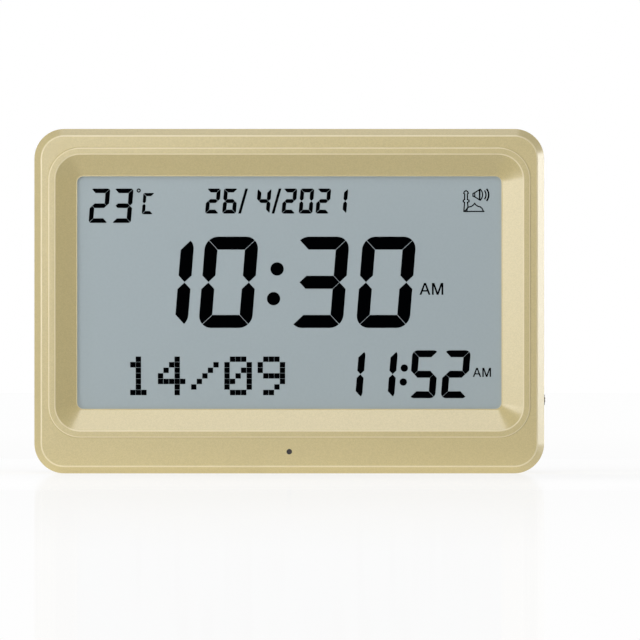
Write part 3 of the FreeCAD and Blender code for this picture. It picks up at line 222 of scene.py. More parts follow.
gold_paint = material_with_grain(
    "champagne gold paint",
    dark=(0.545, 0.445, 0.188),
    light=(0.598, 0.488, 0.209),
    grain=0.35 * mm,
    roughness=0.36,
    relief=0.006 * mm,
    cells=True,
)
gold_shader = gold_paint.node_tree.nodes["Principled BSDF"]
gold_shader.inputs["Specular IOR Level"].default_value = 0.9
gold_shader.inputs["Coat Weight"].default_value = 0.3
gold_shader.inputs["Coat Roughness"].default_value = 0.18

# The lighter colour of the painted highlight on the shell's rounded edges.
edge_highlight_colour = (0.8, 0.69, 0.42)
nodes, links = gold_paint.node_tree.nodes, gold_paint.node_tree.links
# A mask of the rounded edges mixes in the lighter colour there, as a painted highlight.
edge_highlight_mask = nodes.new("ShaderNodeAttribute")
edge_highlight_mask.attribute_name = "painted_highlight"
edge_highlight_mix = nodes.new("ShaderNodeMix")
edge_highlight_mix.data_type = "RGBA"
edge_highlight_mix.inputs["B"].default_value = (*edge_highlight_colour, 1)
links.new(edge_highlight_mask.outputs["Fac"], edge_highlight_mix.inputs["Factor"])
links.new(gold_shader.inputs["Base Color"].links[0].from_socket, edge_highlight_mix.inputs["A"])
links.new(edge_highlight_mix.outputs["Result"], gold_shader.inputs["Base Color"])

shell_bm = bmesh.new()
painted_highlight = shell_bm.faces.layers.float.new("painted_highlight")
rim_edges = grown(window, slope_width + rim_width)
slope_edges = grown(window, slope_width)
flat_edges, flat_radius = grown(outside, -bevel_width), case_radius - bevel_width
wall_edges, wall_radius = grown(outside, -wall), case_radius - wall
rim_radius = recess_radius + rim_width
flat_loop = rounded_loop(shell_bm, flat_edges, flat_radius, flat_y)
rim_loop = rounded_loop(shell_bm, grown(rim_edges, -step_run), rim_radius - step_run, front_y)
slope_loop = rounded_loop(shell_bm, slope_edges, recess_radius, front_y + step)
lip_loop = rounded_loop(shell_bm, window, window_radius, window_y - step)
shell_of(
    shell_bm,
    [
        rounded_loop(shell_bm, outside, case_radius, parting_y),
        rounded_loop(shell_bm, outside, case_radius, bevel_y),
        flat_loop,
        rounded_loop(shell_bm, rim_edges, rim_radius, flat_y + step),
        rim_loop,
        slope_loop,
        rounded_loop(shell_bm, grown(window, lip), window_radius + lip, window_y),
        lip_loop,
        rounded_loop(shell_bm, window, window_radius, film_y - step),
        rounded_loop(shell_bm, grown(window, land), window_radius + land, film_y),
        rounded_loop(shell_bm, slope_edges, recess_radius, inner_y + step),
        rounded_loop(shell_bm, flat_edges, flat_radius, inner_y),
        rounded_loop(shell_bm, wall_edges, wall_radius, bevel_y),
        rounded_loop(shell_bm, wall_edges, wall_radius, parting_y - step),
    ],
)
for loop, round_width in (
    (flat_loop, 0.4 * mm),
    (rim_loop, 0.25 * mm),
    (slope_loop, 0.3 * mm),
    (lip_loop, 0.15 * mm),
):
    rounding = bmesh.ops.bevel(
        shell_bm,
        geom=loop,
        offset=round_width,
        affect="EDGES",
        segments=4,
        profile=0.5,
        material=-1,
    )
    # The faces of each rounding are marked for the painted highlight.
    for face in rounding["faces"]:
        face[painted_highlight] = 1
front_shell = finished("front_shell", shell_bm, gold_paint)
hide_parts("front_case")

sensor_low, sensor_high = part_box("sensor_lens")
sensor_z = (sensor_low.z + sensor_high.z) / 2
hole_bm = bmesh.new()
rod(hole_bm, 0, sensor_z, sensor_hole_radius, front_y, inner_y + past_wall)
carve(front_shell, hole_bm)

wheel_low, wheel_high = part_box("volume_wheel")
wheel_centre = (wheel_low + wheel_high) / 2
notch_low = wheel_low.z + notch_inset
notch_high = wheel_centre.z + (wheel_centre.z - notch_low)
notch_bm = bmesh.new()
block(
    notch_bm,
    (case_high.x - wall - past_wall, wheel_low.y - wheel_room, notch_low),
    (case_high.x + past_wall, parting_y + past_wall, notch_high),
)
carve(front_shell, notch_bm)
ease_edges(front_shell, width=0.1 * mm)


# Display. A stack of two glass panes between polarising films, with a clear plate behind it that
# spreads the light of six lamps. From the front only the matt grey-green film shows.

film_finish = material_with_grain(
    "anti-glare film",
    dark=(0.407, 0.479, 0.509),
    light=(0.423, 0.496, 0.527),
    grain=1.2 * mm,
    roughness=0.5,
    relief=0.002 * mm,
)
film_finish.node_tree.nodes["Principled BSDF"].inputs["Specular IOR Level"].default_value = 0.3


def dress(names, material):
    """Gives CAD pieces their finish."""
    for name in names:
        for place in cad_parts[name].material_slots:
            place.material = material


def clear_material(name, tint, roughness, ior, grain):
    """A see-through finish with a faint unevenness in its surface."""
    material = material_with_grain(name, tint, tint, grain, roughness, relief=0.001 * mm)
    shader = material.node_tree.nodes["Principled BSDF"]
    shader.inputs["Transmission Weight"].default_value = 0.85
    shader.inputs["IOR"].default_value = ior
    return material


pane_glass = clear_material(
    "display glass", tint=(0.85, 0.92, 0.9), roughness=0.03, ior=1.52, grain=30 * mm
)
guide_acrylic = clear_material(
    "clear acrylic", tint=(0.9, 0.93, 0.95), roughness=0.12, ior=1.49, grain=4 * mm
)
dress(["front_polarizer", "rear_polarizer"], film_finish)
dress(["front_glass", "rear_glass"], pane_glass)
dress(["light_guide"], guide_acrylic)
lamp_resin = material_with_grain(
    "lamp resin",
    dark=(0.8, 0.8, 0.62),
    light=(0.92, 0.92, 0.8),
    grain=0.8 * mm,
    roughness=0.25,
)
dress(["backlight_lamps"], lamp_resin)


# Figures. The dark segments of the liquid crystal: slanted seven-segment figures with round outer
# corners, whose segments part along the diagonals, then slashes, colons, a morning mark beside each
# time and a row of square dots. They are thin black plates just in front of the film.

figure_black = material_with_grain(
    "dark segments",
    dark=(0.0002, 0.0004, 0.0008),
    light=(0.0008, 0.001, 0.0014),
    grain=0.6 * mm,
    roughness=0.6,
)
figure_black.node_tree.nodes["Principled BSDF"].inputs["Specular IOR Level"].default_value = 0
figure_back_y = film_y - 0.004 * mm
figure_depth = 0.03 * mm
slant = math.tan(math.radians(4.6))
least_gap, gap_share = 0.09 * mm, 0.024
display_left, display_low = window[0], window[2]

SEGMENTS = {
    "0": "abcdef",
    "1": "bc",
    "2": "abged",
    "3": "abgcd",
    "4": "fgbc",
    "5": "afgcd",
    "6": "afgedc",
    "C": "afed",
}
MIRRORS = {
    "a": ("bar", 1, 1),
    "d": ("bar", 1, -1),
    "f": ("post", 1, 1),
    "e": ("post", 1, -1),
    "b": ("post", -1, 1),
    "c": ("post", -1, -1),
    "g": ("middle", 1, 1),
}


def segment_cuts(kind, half_w, half_h, stroke, gap):
    """Points on the cuts that leave one segment of a cell, with the sides that fall away."""
    inside = half_h - stroke
    left_corner = Vector((-half_w, half_h))
    point_gap = gap * 0.8
    if kind == "bar":
        return [
            (Vector((0, inside)), Vector((0, -1))),
            (left_corner + Vector((gap, gap)) / 2, Vector((-1, -1))),
            (Vector((half_w - gap / 2, half_h + gap / 2)), Vector((1, -1))),
        ]
    if kind == "post":
        tip = Vector((stroke / 2 - half_w, point_gap))
        return [
            (Vector((stroke - half_w, 0)), Vector((1, 0))),
            (left_corner - Vector((gap, gap)) / 2, Vector((1, 1))),
            (tip, Vector((1, -1))),
            (tip, Vector((-1, -1))),
        ]
    tip_x = half_w - stroke / 2 - point_gap
    return [
        (Vector((0, stroke / 2)), Vector((0, 1))),
        (Vector((0, -stroke / 2)), Vector((0, -1))),
        (Vector((-tip_x, 0)), Vector((-1, 1))),
        (Vector((-tip_x, 0)), Vector((-1, -1))),
        (Vector((tip_x, 0)), Vector((1, 1))),
        (Vector((tip_x, 0)), Vector((1, -1))),
    ]


def add_plate(target, plate, place):
    """Thickens a flat outline that lies in XZ, puts it in its place and adds it to the figures."""
    made = bmesh.ops.extrude_face_region(plate, geom=list(plate.faces))
    moved = [item for item in made["geom"] if isinstance(item, bmesh.types.BMVert)]
    bmesh.ops.translate(plate, verts=moved, vec=(0, -figure_depth, 0))
    bmesh.ops.recalc_face_normals(plate, faces=plate.faces)
    bmesh.ops.transform(plate, matrix=place, verts=plate.verts)
    holder = bpy.data.meshes.new("plate")
    plate.to_mesh(holder)
    plate.free()
    target.from_mesh(holder)
    bpy.data.meshes.remove(holder)


def in_window(left, low):
    """The matrix that moves a plate to a place in the window, in mm from its lower left corner."""
    return Matrix.Translation((display_left + left * mm, figure_back_y, display_low + low * mm))


def flat_plate(points):
    """A flat face in XZ, given by its corners in mm."""
    plate = bmesh.new()
    plate.faces.new([plate.verts.new((x * mm, 0, z * mm)) for x, z in points])
    return plate


def add_figure(target, mark, left, low, width, height, stroke, corner):
    """Adds one seven-segment figure; left and low are its cell's corner in the window, in mm."""
    half_w, half_h = width / 2 * mm, height / 2 * mm
    cell = (-half_w, half_w, -half_h, half_h)
    gap = max(least_gap, gap_share * stroke * mm)
    lean = Matrix.Identity(4)
    lean[0][2] = slant
    to_centre = Matrix.Translation((half_w + slant * half_h, 0, half_h))
    place = in_window(left, low) @ to_centre @ lean
    for segment in SEGMENTS[mark]:
        kind, flip_u, flip_v = MIRRORS[segment]
        plate = bmesh.new()
        rounded_loop(plate, cell, corner * mm, 0, steps=8)
        bmesh.ops.contextual_create(plate, geom=list(plate.edges))
        for point, side in segment_cuts(kind, half_w, half_h, stroke * mm, gap):
            bmesh.ops.bisect_plane(
                plate,
                geom=[*plate.verts, *plate.edges, *plate.faces],
                plane_co=(point.x * flip_u, 0, point.y * flip_v),
                plane_no=(side.x * flip_u, 0, side.y * flip_v),
                clear_outer=True,
            )
        add_plate(target, plate, place)


def add_dot(target, left, low, radius):
    """Adds one round dot of a colon."""
    plate = bmesh.new()
    bmesh.ops.create_circle(
        plate,
        cap_ends=True,
        segments=40,
        radius=radius * mm,
        matrix=Matrix.Rotation(math.pi / 2, 4, "X"),
    )
    add_plate(target, plate, in_window(left, low))


def add_slash(target, left, low, width, height, stroke):
    """Adds the slash between two parts of the date."""
    plate = flat_plate([(0, 0), (stroke, 0), (width + stroke, height), (width, height)])
    add_plate(target, plate, in_window(left, low))


def add_letter(target, loops, left, low, height):
    """Adds a plain capital, filled between its outer loop and the loops of its holes."""
    plate = bmesh.new()
    for points in loops:
        corners = [plate.verts.new((x * height * mm, 0, z * height * mm)) for x, z in points]
        for start, end in zip(corners, corners[1:] + corners[:1]):
            plate.edges.new((start, end))
    bmesh.ops.triangle_fill(plate, use_beauty=True, edges=plate.edges, normal=(0, -1, 0))
    add_plate(target, plate, in_window(left, low))


LETTER_PITCH = 1.05
LETTER_A = [
    [
        *[(0, 0), (0.165, 0), (0.268, 0.27), (0.662, 0.27)],
        *[(0.765, 0), (0.93, 0), (0.55, 1), (0.38, 1)],
    ],
    [(0.317, 0.4), (0.613, 0.4), (0.465, 0.83)],
]
LETTER_M = [
    [
        *[(0, 0), (0.155, 0), (0.155, 0.72), (0.4, 0), (0.56, 0), (0.805, 0.72), (0.805, 0)],
        *[(0.96, 0), (0.96, 1), (0.755, 1), (0.48, 0.24), (0.205, 1), (0, 1)],
    ]
]


def add_half_of_day(target, left, low, height):
    """Adds the two letters that mark a morning time; their outlines are shares of their height."""
    add_letter(target, LETTER_A, left, low, height)
    add_letter(target, LETTER_M, left + LETTER_PITCH * height, low, height)


figures = bmesh.new()

# the temperature
for mark, left in (("2", 5.1), ("3", 15.6)):
    add_figure(figures, mark, left, low=83.9, width=8.6, height=15.5, stroke=2.05, corner=1.2)
add_figure(figures, "C", left=29.1, low=87.8, width=5.1, height=9.6, stroke=1.45, corner=0.7)

# the date, with its slashes
date = {"low": 88.1, "width": 6.2, "height": 11.3, "stroke": 1.75, "corner": 1.0}
for mark, left in zip("2642021", (57.7, 65.4, 80.6, 92.2, 99.9, 107.5, 115.2)):
    add_figure(figures, mark, left, **date)
for left in (72.65, 87.7):
    add_slash(figures, left, date["low"], width=3.2, height=date["height"], stroke=1.25)

# the time
clock = {"low": 36.5, "width": 24.1, "height": 41.2, "stroke": 5.85, "corner": 5.8}
for mark, left in (("1", 25.6), ("0", 54.6), ("3", 95.6), ("0", 125.7)):
    add_figure(figures, mark, left, **clock)
for left, low in ((90.2, 63.1), (88.6, 49.7)):
    add_dot(figures, left, low, radius=3.0)
add_half_of_day(figures, left=154.45, low=51.45, height=5.35)

# the next prayer's time
later = {"low": 4.8, "width": 11.9, "height": 21.6, "stroke": 3.1, "corner": 2.4}
for mark, left in (("1", 116.6), ("1", 131.1), ("5", 149.6), ("2", 164.0)):
    add_figure(figures, mark, left, **later)
for left, low in ((147.6, 18.4), (147.15, 12.1)):
    add_dot(figures, left, low, radius=1.65)
add_half_of_day(figures, left=178.5, low=14.4, height=4.1)

# the row of square dots
DOTS = {
    "1": ("00100", "01100", "00100", "00100", "00100", "00100", "01110"),
    "4": ("00010", "00110", "01010", "10010", "11111", "00010", "00010"),
    "/": ("00000", "00001", "00010", "00100", "01000", "10000", "00000"),
    "0": ("01110", "10001", "10011", "10101", "11001", "10001", "01110"),
    "9": ("01110", "10001", "10001", "01111", "00001", "00010", "01100"),
}
dot_pitch, dot_side, character_pitch = 2.507 * mm, 2.41 * mm, 15.0 * mm
row_left, row_top = display_left + 21.4 * mm, display_low + 23.6 * mm
for place, mark in enumerate("14/09"):
    for row, cells in enumerate(DOTS[mark]):
        for column, lit in enumerate(cells):
            if lit == "1":
                x = row_left + place * character_pitch + column * dot_pitch
                z = row_top - row * dot_pitch
                low_corner = (x, figure_back_y - figure_depth, z - dot_side)
                block(figures, low_corner, (x + dot_side, figure_back_y, z))

segments = finished("display_figures", figures, figure_black, smooth=False)


# Pictogram and degree ring, shown by segments of the same kind: a small tower beside a dome, and a
# horn with two sound waves. The tower, dome, horn and ring are outlines, each made by insetting a
# flat face and dropping its middle. The waves and the horn's two bars are filled.

outline_width = 0.55 * mm


def outline_plate(points):
    """A flat outline of even width round a shape given by its corners in mm."""
    plate = flat_plate(points)
    [face] = plate.faces
    face.normal_update()
    bmesh.ops.inset_region(
        plate, faces=[face], thickness=outline_width, use_even_offset=True, use_boundary=True
    )
    bmesh.ops.delete(plate, geom=[face], context="FACES_ONLY")
    return plate


def arc(x, z, radius, start, end, steps=14):
    """Points on an arc, in mm, with its ends in degrees."""
    turns = [math.radians(start + (end - start) * step / steps) for step in range(steps + 1)]
    return [(x + radius * math.cos(turn), z + radius * math.sin(turn)) for turn in turns]


pictogram = bmesh.new()
pictogram_place = in_window(173.6, 88.8)
tower = [(0.6, 0), (2.4, 0), (3.0, 2.5), (2.8, 4.2), (3.5, 4.5), (3.5, 5.5), (2.75, 5.8)]
tower += [(2.75, 8.0), (3.25, 8.4), (2.8, 9.4), (1.85, 10.0), (0.9, 9.4), (0.45, 8.4), (0.95, 8.0)]
tower += [(0.95, 5.8), (0.35, 5.5), (0.35, 4.5), (0.9, 4.2)]
dome = [(0.6, 0), (10.4, 0), (9.8, 0.8), (9.3, 1.8), (8.4, 2.6), (7.5, 2.8), (6.6, 3.3)]
dome += [(5.75, 4.35), (4.9, 3.3), (4.1, 2.75), (3.3, 2.6), (2.6, 2.3)]
horn = [(4.7, 7.0), (5.7, 6.6)] + arc(5.9, 7.8, 3.7, -50, 50) + [(5.7, 9.0), (4.7, 8.5)]
for points in (tower, dome, horn):
    add_plate(pictogram, outline_plate(points), pictogram_place)
horn_throat = [(5.55, 6.7), (6.05, 6.7), (6.05, 8.9), (5.55, 8.9)]
horn_mouth = [(7.65, 5.4), (8.35, 5.4), (8.35, 10.2), (7.65, 10.2)]
waves = [
    arc(7.6, 7.75, radius, -38, 38) + arc(7.6, 7.75, radius + width, 38, -38)
    for radius, width in ((2.95, 0.62), (4.1, 0.75))
]
for points in [horn_throat, horn_mouth] + waves:
    add_plate(pictogram, flat_plate(points), pictogram_place)
degree_ring = arc(0, 0, radius=0.95, start=0, end=345, steps=23)
add_plate(pictogram, outline_plate(degree_ring), in_window(27.75, 98.5))
finished("display_pictogram", pictogram, figure_black, smooth=False)


# Display holder, contact strip and backlight strip. The white tray clamps the display against the
# case's lip, a banded rubber strip carries the signals from the panes to the circuit board, and
# the lamps sit on a narrow board above the light guide.

white_moulding = material_with_grain(
    "white moulding",
    dark=(0.76, 0.76, 0.73),
    light=(0.84, 0.84, 0.81),
    grain=0.9 * mm,
    roughness=0.5,
    relief=0.01 * mm,
)
board_laminate = material_with_grain(
    "green board",
    dark=(0.018, 0.11, 0.04),
    light=(0.045, 0.19, 0.075),
    grain=2.5 * mm,
    roughness=0.35,
    relief=0.01 * mm,
)
banded_rubber = material_with_grain(
    "banded rubber",
    dark=(0.2, 0.17, 0.17),
    light=(0.45, 0.42, 0.42),
    grain=0.3 * mm,
    roughness=0.7,
)
dress(["display_holder"], white_moulding)
dress(["contact_strip"], banded_rubber)
dress(["backlight_strip", "circuit_board", "sensor_board"], board_laminate)


# Light sensor. A smoked lens in a small hole in the lower border, with the sensitive cell and its
# little board on posts behind it.

smoked_lens = material_with_grain(
    "smoked lens",
    dark=(0.012, 0.009, 0.009),
    light=(0.03, 0.022, 0.02),
    grain=0.5 * mm,
    roughness=0.12,
)
sensor_resin = material_with_grain(
    "sensor resin",
    dark=(0.18, 0.1, 0.04),
    light=(0.32, 0.2, 0.1),
    grain=0.4 * mm,
    roughness=0.2,
)
dress(["sensor_lens"], smoked_lens)
dress(["light_sensor"], sensor_resin)


# Electronics. The clock's chip under a drop of black resin, the voice chip, a crystal can, capacitors
# in dark sleeves, the thermometer's bead and the switches are soldered to the main board, and the
# power socket stands behind its opening.

black_resin = material_with_grain(
    "black resin",
    dark=(0.008, 0.008, 0.009),
    light=(0.026, 0.026, 0.028),
    grain=0.7 * mm,
    roughness=0.22,
    relief=0.02 * mm,
)
black_moulding = material_with_grain(
    "black moulding",
    dark=(0.012, 0.012, 0.013),
    light=(0.03, 0.03, 0.031),
    grain=0.35 * mm,
    roughness=0.55,
    relief=0.01 * mm,
)
drawn_steel = material_with_grain(
    "drawn steel",
    dark=(0.5, 0.5, 0.51),
    light=(0.66, 0.66, 0.67),
    grain=0.5 * mm,
    roughness=0.3,
    relief=0.004 * mm,
    metallic=1,
)
dark_sleeve = material_with_grain(
    "dark sleeve",
    dark=(0.02, 0.025, 0.06),
    light=(0.045, 0.055, 0.12),
    grain=0.8 * mm,
    roughness=0.3,
)
dress(["clock_chip", "voice_chip", "thermometer"], black_resin)
dress(["switches", "power_socket"], black_moulding)
dress(["crystal"], drawn_steel)
dress(["capacitors"], dark_sleeve)


# Volume control. A knurled black thumbwheel on a brass spindle stands out of the right-hand side
# through a notch that both shells share. Its steel can sits on the board.

weld = 0.001 * mm
flat_angle, sharp_angle = math.radians(0.5), 0.5
back_depth = 1.5 * mm


def round_corners(bm, radius, inside):
    """Rounds the sharp edges along Y that reach the back, in a (left, right, low, high) region."""
    left, right, low, high = inside
    back_level = max(vert.co.y for vert in bm.verts) - back_depth
    corners = []
    for edge in bm.edges:
        near, far = (vert.co for vert in edge.verts)
        runs_along_y = math.hypot(near.x - far.x, near.z - far.z) < weld
        if not runs_along_y or max(near.y, far.y) < back_level or not edge.is_manifold:
            continue
        if left < near.x < right and low < near.z < high and edge.calc_face_angle() > sharp_angle:
            corners.append(edge)
    bmesh.ops.bevel(
        bm,
        geom=corners,
        offset=radius,
        affect="EDGES",
        segments=5,
        profile=0.5,
        material=-1,
    )


def eased_copy(
    name, node, edge, material, body="case", angle=20, segments=2, corners=()
):
    """A merged copy of a CAD piece with small round edges, which stands for it."""
    bm = bmesh.new()
    bm.from_mesh(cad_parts[node].data)
    bmesh.ops.remove_doubles(bm, verts=bm.verts, dist=2 * weld)
    bmesh.ops.dissolve_limit(
        bm,
        angle_limit=flat_angle,
        verts=bm.verts,
        edges=bm.edges,
        use_dissolve_boundaries=False,
    )
    for radius, inside in corners:
        round_corners(bm, radius, inside)
    piece = finished(name, bm, material, body=body)
    ease_edges(piece, edge, segments=segments, angle=angle)
    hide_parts(node)


wheel_finish = material_with_grain(
    "black wheel",
    dark=(0.012, 0.011, 0.011),
    light=(0.034, 0.031, 0.03),
    grain=0.3 * mm,
    roughness=0.42,
    relief=0.01 * mm,
)
turned_brass = material_with_grain(
    "turned brass",
    dark=(0.5, 0.36, 0.13),
    light=(0.68, 0.52, 0.24),
    grain=0.3 * mm,
    roughness=0.3,
    metallic=1,
)
eased_copy(
    "thumbwheel",
    "volume_wheel",
    edge=0.06 * mm,
    material=wheel_finish,
    body="volume",
    angle=12,
)
dress(["volume_spindle"], turned_brass)
dress(["volume_control"], drawn_steel)


# Loudspeaker. A small paper cone in a pressed steel basket faces the grille through a foam gasket,
# with its ferrite magnet towards the display. Three screws hold it to the rear cover.

cone_paper = material_with_grain(
    "black paper",
    dark=(0.02, 0.02, 0.02),
    light=(0.06, 0.058, 0.055),
    grain=0.5 * mm,
    roughness=0.8,
    relief=0.05 * mm,
)
ferrite = material_with_grain(
    "ferrite",
    dark=(0.02, 0.02, 0.021),
    light=(0.05, 0.05, 0.052),
    grain=0.4 * mm,
    roughness=0.5,
    relief=0.02 * mm,
)
foam = material_with_grain(
    "foam",
    dark=(0.012, 0.012, 0.012),
    light=(0.05, 0.05, 0.05),
    grain=0.4 * mm,
    roughness=0.9,
    relief=0.1 * mm,
)
dress(["speaker_basket", "speaker_top_plate"], drawn_steel)
dress(["speaker_cone"], cone_paper)
dress(["speaker_magnet", "speaker_yoke"], ferrite)
dress(["speaker_gasket"], foam)


# Rear cover. The back half of the casing in the same paint, with the grille, keyholes, buttons,
# leg nest, cell compartment, socket and air slots moulded into it.

cone_low, cone_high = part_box("speaker_cone")
keys_low, keys_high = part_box("menu_button")[0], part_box("mute_button")[1]
keys_left, keys_right = sorted((keys_low.x, keys_high.x))
door_low, door_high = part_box("battery_door")
slot_corner, key_corner, opening_corner, door_corner = 0.95 * mm, 0.9 * mm, 1.2 * mm, 1.0 * mm
grille_margin, key_margin, door_margin = 3 * mm, 6 * mm, 1.2 * mm
grille_region = grown((cone_low.x, cone_high.x, cone_low.z, cone_high.z), grille_margin)
key_region = grown((keys_left, keys_right, keys_low.z, keys_high.z), key_margin)
door_ends = [
    grown((x, x, door_low.z, door_high.z), door_margin) for x in (door_low.x, door_high.x)
]
eased_copy(
    "rear_shell",
    "rear_cover",
    edge=0.25 * mm,
    material=gold_paint,
    segments=3,
    corners=[
        (slot_corner, grille_region),
        (key_corner, key_region),
        *[(opening_corner, door_end) for door_end in door_ends],
    ],
)


# Rear buttons. Five moulded black keys slide in openings of the rear cover, each with a flange
# inside that keeps it in, and press the white plungers of the switches on the board.

for key in ("menu", "up", "down", "light", "mute"):
    eased_copy(
        f"{key}_keycap",
        f"{key}_button",
        edge=0.35 * mm,
        material=black_moulding,
        body=f"{key}_key",
        angle=15,
        segments=3,
    )
    dress([f"{key}_plunger"], white_moulding)


# Cells, contacts and door. Three AA cells, each a plain blue jacket crimped over a steel can, lie
# between plated contacts. The moulded door swings on its lower edge, and its latch flexes between
# two slits.

jacket = material_with_grain(
    "cell jacket",
    dark=(0.055, 0.15, 0.32),
    light=(0.07, 0.185, 0.38),
    grain=1.5 * mm,
    roughness=0.25,
    metallic=0.3,
)
plating = material_with_grain(
    "nickel plating",
    dark=(0.6, 0.58, 0.53),
    light=(0.76, 0.74, 0.68),
    grain=0.6 * mm,
    roughness=0.25,
    relief=0.003 * mm,
    metallic=1,
)
dress(["left_contacts", "right_contacts", "socket_pin"], plating)


def loose_parts(node):
    """The corners of each separate solid in a CAD piece."""
    bm = bmesh.new()
    bm.from_mesh(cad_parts[node].data)
    bmesh.ops.remove_doubles(bm, verts=bm.verts, dist=weld)
    bm.verts.index_update()
    seen, parts = set(), []
    for seed in bm.verts:
        part, newest = set(), {seed} - seen
        while newest:
            part |= newest
            newest = {edge.other_vert(vert) for vert in newest for edge in vert.link_edges} - part
        if part:
            parts.append([vert.co.copy() for vert in sorted(part, key=lambda vert: vert.index)])
            seen |= part
    bm.free()
    return parts


def level(value):
    """A coordinate to the nearest hundredth of a millimetre, so that equal levels count as one."""
    return round(value, 5)


def turn(target, profile, centre, axis, steps):
    """Turns an open profile once round an axis, as one closed piece of a bmesh."""
    points = [target.verts.new(point) for point in profile]
    edges = [target.edges.new(pair) for pair in zip(points, points[1:])]
    bmesh.ops.spin(
        target,
        geom=points + edges,
        cent=centre,
        axis=axis,
        angle=2 * math.pi,
        steps=steps,
        use_merge=True,
    )


def close_poles(bm):
    """Merges the ends of turned pieces on their axes and points their faces outwards."""
    bmesh.ops.remove_doubles(bm, verts=bm.verts, dist=weld)
    bmesh.ops.recalc_face_normals(bm, faces=bm.faces)


def turned_cell(target, middle, flat_end, towards_cap, outline):
    """Turns one part of a cell from (distance from its flat end, radius) pairs in mm."""
    profile = [
        (flat_end + towards_cap * distance * mm, middle.y + radius * mm, middle.z)
        for distance, radius in outline
    ]
    turn(target, profile, middle, axis=(1, 0, 0), steps=48)


JACKET = [
    *[(0.5, 0), (0.5, 6.2), (0.3, 6.5), (0.3, 6.8), (0.7, 7.25)],
    *[(48.6, 7.25), (49.05, 6.9), (49.2, 6.5), (49.0, 6.1), (49.0, 0)],
]
BASE_DISC = [(0, 0), (0, 5.6), (0.25, 6.0), (0.6, 6.0), (0.6, 0)]
CAP_DISC = [
    *[(48.8, 0), (48.8, 5.9), (49.1, 5.6), (49.1, 3.1)],
    *[(49.4, 2.75), (50.3, 2.6), (50.5, 2.3), (50.5, 0)],
]
jackets, terminals = bmesh.new(), bmesh.new()
for part in loose_parts("battery_cells"):
    first, second, last = sorted({level(corner.x) for corner in part})
    middle = sum(part, Vector()) / len(part)
    flat_end, towards_cap = (last, -1) if second - first < last - second else (first, 1)
    turned_cell(jackets, middle, flat_end, towards_cap, JACKET)
    for disc in (BASE_DISC, CAP_DISC):
        turned_cell(terminals, middle, flat_end, towards_cap, disc)
for name, bm, material, slot in (
    ("cell_jackets", jackets, jacket, "cell_jacket"),
    ("cell_terminals", terminals, plating, "plated_metal"),
):
    close_poles(bm)
    turned = finished(name, bm, material)
    ease_edges(turned, width=0.08 * mm, segments=2)
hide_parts("battery_cells")
eased_copy(
    "cell_door",
    "battery_door",
    edge=0.15 * mm,
    material=gold_paint,
    body="door",
    corners=[(door_corner, door_end) for door_end in door_ends],
)


# Folding leg. A painted plate with ribs inside and grip grooves near its foot, which swings out of
# its nest on two moulded pins until its heel stops it.

eased_copy(
    "leg",
    "folding_leg",
    edge=0.3 * mm,
    material=gold_paint,
    body="leg",
)


# Screws. Zinc-plated steel, pan-headed, with a cross recess: six hold the case from the back, and
# the rest hold the boards, the display, the loudspeaker and the thumbwheel.

zinc = material_with_grain(
    "zinc plating",
    dark=(0.42, 0.42, 0.44),
    light=(0.62, 0.62, 0.64),
    grain=0.4 * mm,
    roughness=0.32,
    relief=0.004 * mm,
    metallic=1,
)


def turned_screw(target, corners):
    """Turns a pan-headed screw where a plain CAD one stands; returns its head's place and size.

    Its head is always at the back, so the loudspeaker's screws, whose heads are at the front, come
    out as wide as their heads all along.
    """
    x = sum(corner.x for corner in corners) / len(corners)
    z = sum(corner.z for corner in corners) / len(corners)
    reach = {}
    for corner in corners:
        y, radius = level(corner.y), math.hypot(corner.x - x, corner.z - z)
        reach[y] = max(radius, reach.get(y, 0))
    foot, neck, top = sorted(reach)
    shaft, head = reach[foot], max(reach.values())
    dome = min(0.4 * head, 0.7 * (top - neck))
    bulge = 0.3 * dome
    outline = [(0, foot), (shaft, foot), (shaft, neck), (head, neck), (head, top - dome)]
    outline += [(head - bulge, top - bulge), (head - dome, top), (0, top)]
    profile = [(x + radius, y, z) for radius, y in outline]
    turn(target, profile, centre=(x, 0, z), axis=(0, 1, 0), steps=32)
    return x, z, head, neck, top


for group in (
    "board_screws",
    "case_screws",
    "holder_screws",
    "sensor_screws",
    "speaker_screws",
    "wheel_screw",
):
    screws, flat_arms, upright_arms = bmesh.new(), bmesh.new(), bmesh.new()
    for part in loose_parts(group):
        x, z, head, neck, top = turned_screw(screws, part)
        arm, half, depth = 0.6 * head, 0.12 * head, 0.5 * (top - neck)
        block(flat_arms, (x - arm, top - depth, z - half), (x + arm, top + depth, z + half))
        block(upright_arms, (x - half, top - depth, z - arm), (x + half, top + depth, z + arm))
    close_poles(screws)
    if group == "wheel_screw":
        driven = finished("wheel_cross_screw", screws, zinc, "volume", smooth=False)
    else:
        driven = finished(f"cross_{group}", screws, zinc, smooth=False)
    carve(driven, flat_arms)
    carve(driven, upright_arms)
    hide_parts(group)


# Studio. A pale, slightly glossy table and plain soft light, with white all round: broad lamps
# above and to the left, a small one beside the camera, one at the right that catches the bevels of
# that side, and one each for the top and the back.

table_half_side = 7
white_start, white_end = 0.2, 0.8
share_near, glow_near = 0.65, 1.22
gloss_start, gloss_end = 0.4, 2.5
gloss_near, gloss_far = 0.14, 0.05
strip_side, strip_edge, strip_share = 0.018, 0.034, 0.8
room_light = 0.1

stage_bm = bmesh.new()
bmesh.ops.create_grid(stage_bm, x_segments=1, y_segments=1, size=table_half_side)
table_mesh = bpy.data.meshes.new("table")
stage_bm.to_mesh(table_mesh)
stage_bm.free()
table = bpy.data.objects.new("table", table_mesh)
bpy.context.scene.collection.objects.link(table)


def worked_out(nodes, links, operation, *values):
    """The result of a sum on one or two sockets, such as their product or their larger value."""
    step = nodes.new("ShaderNodeMath")
    step.operation = operation
    for value, socket in zip(values, step.inputs):
        links.new(value, socket)
    return step.outputs["Value"]


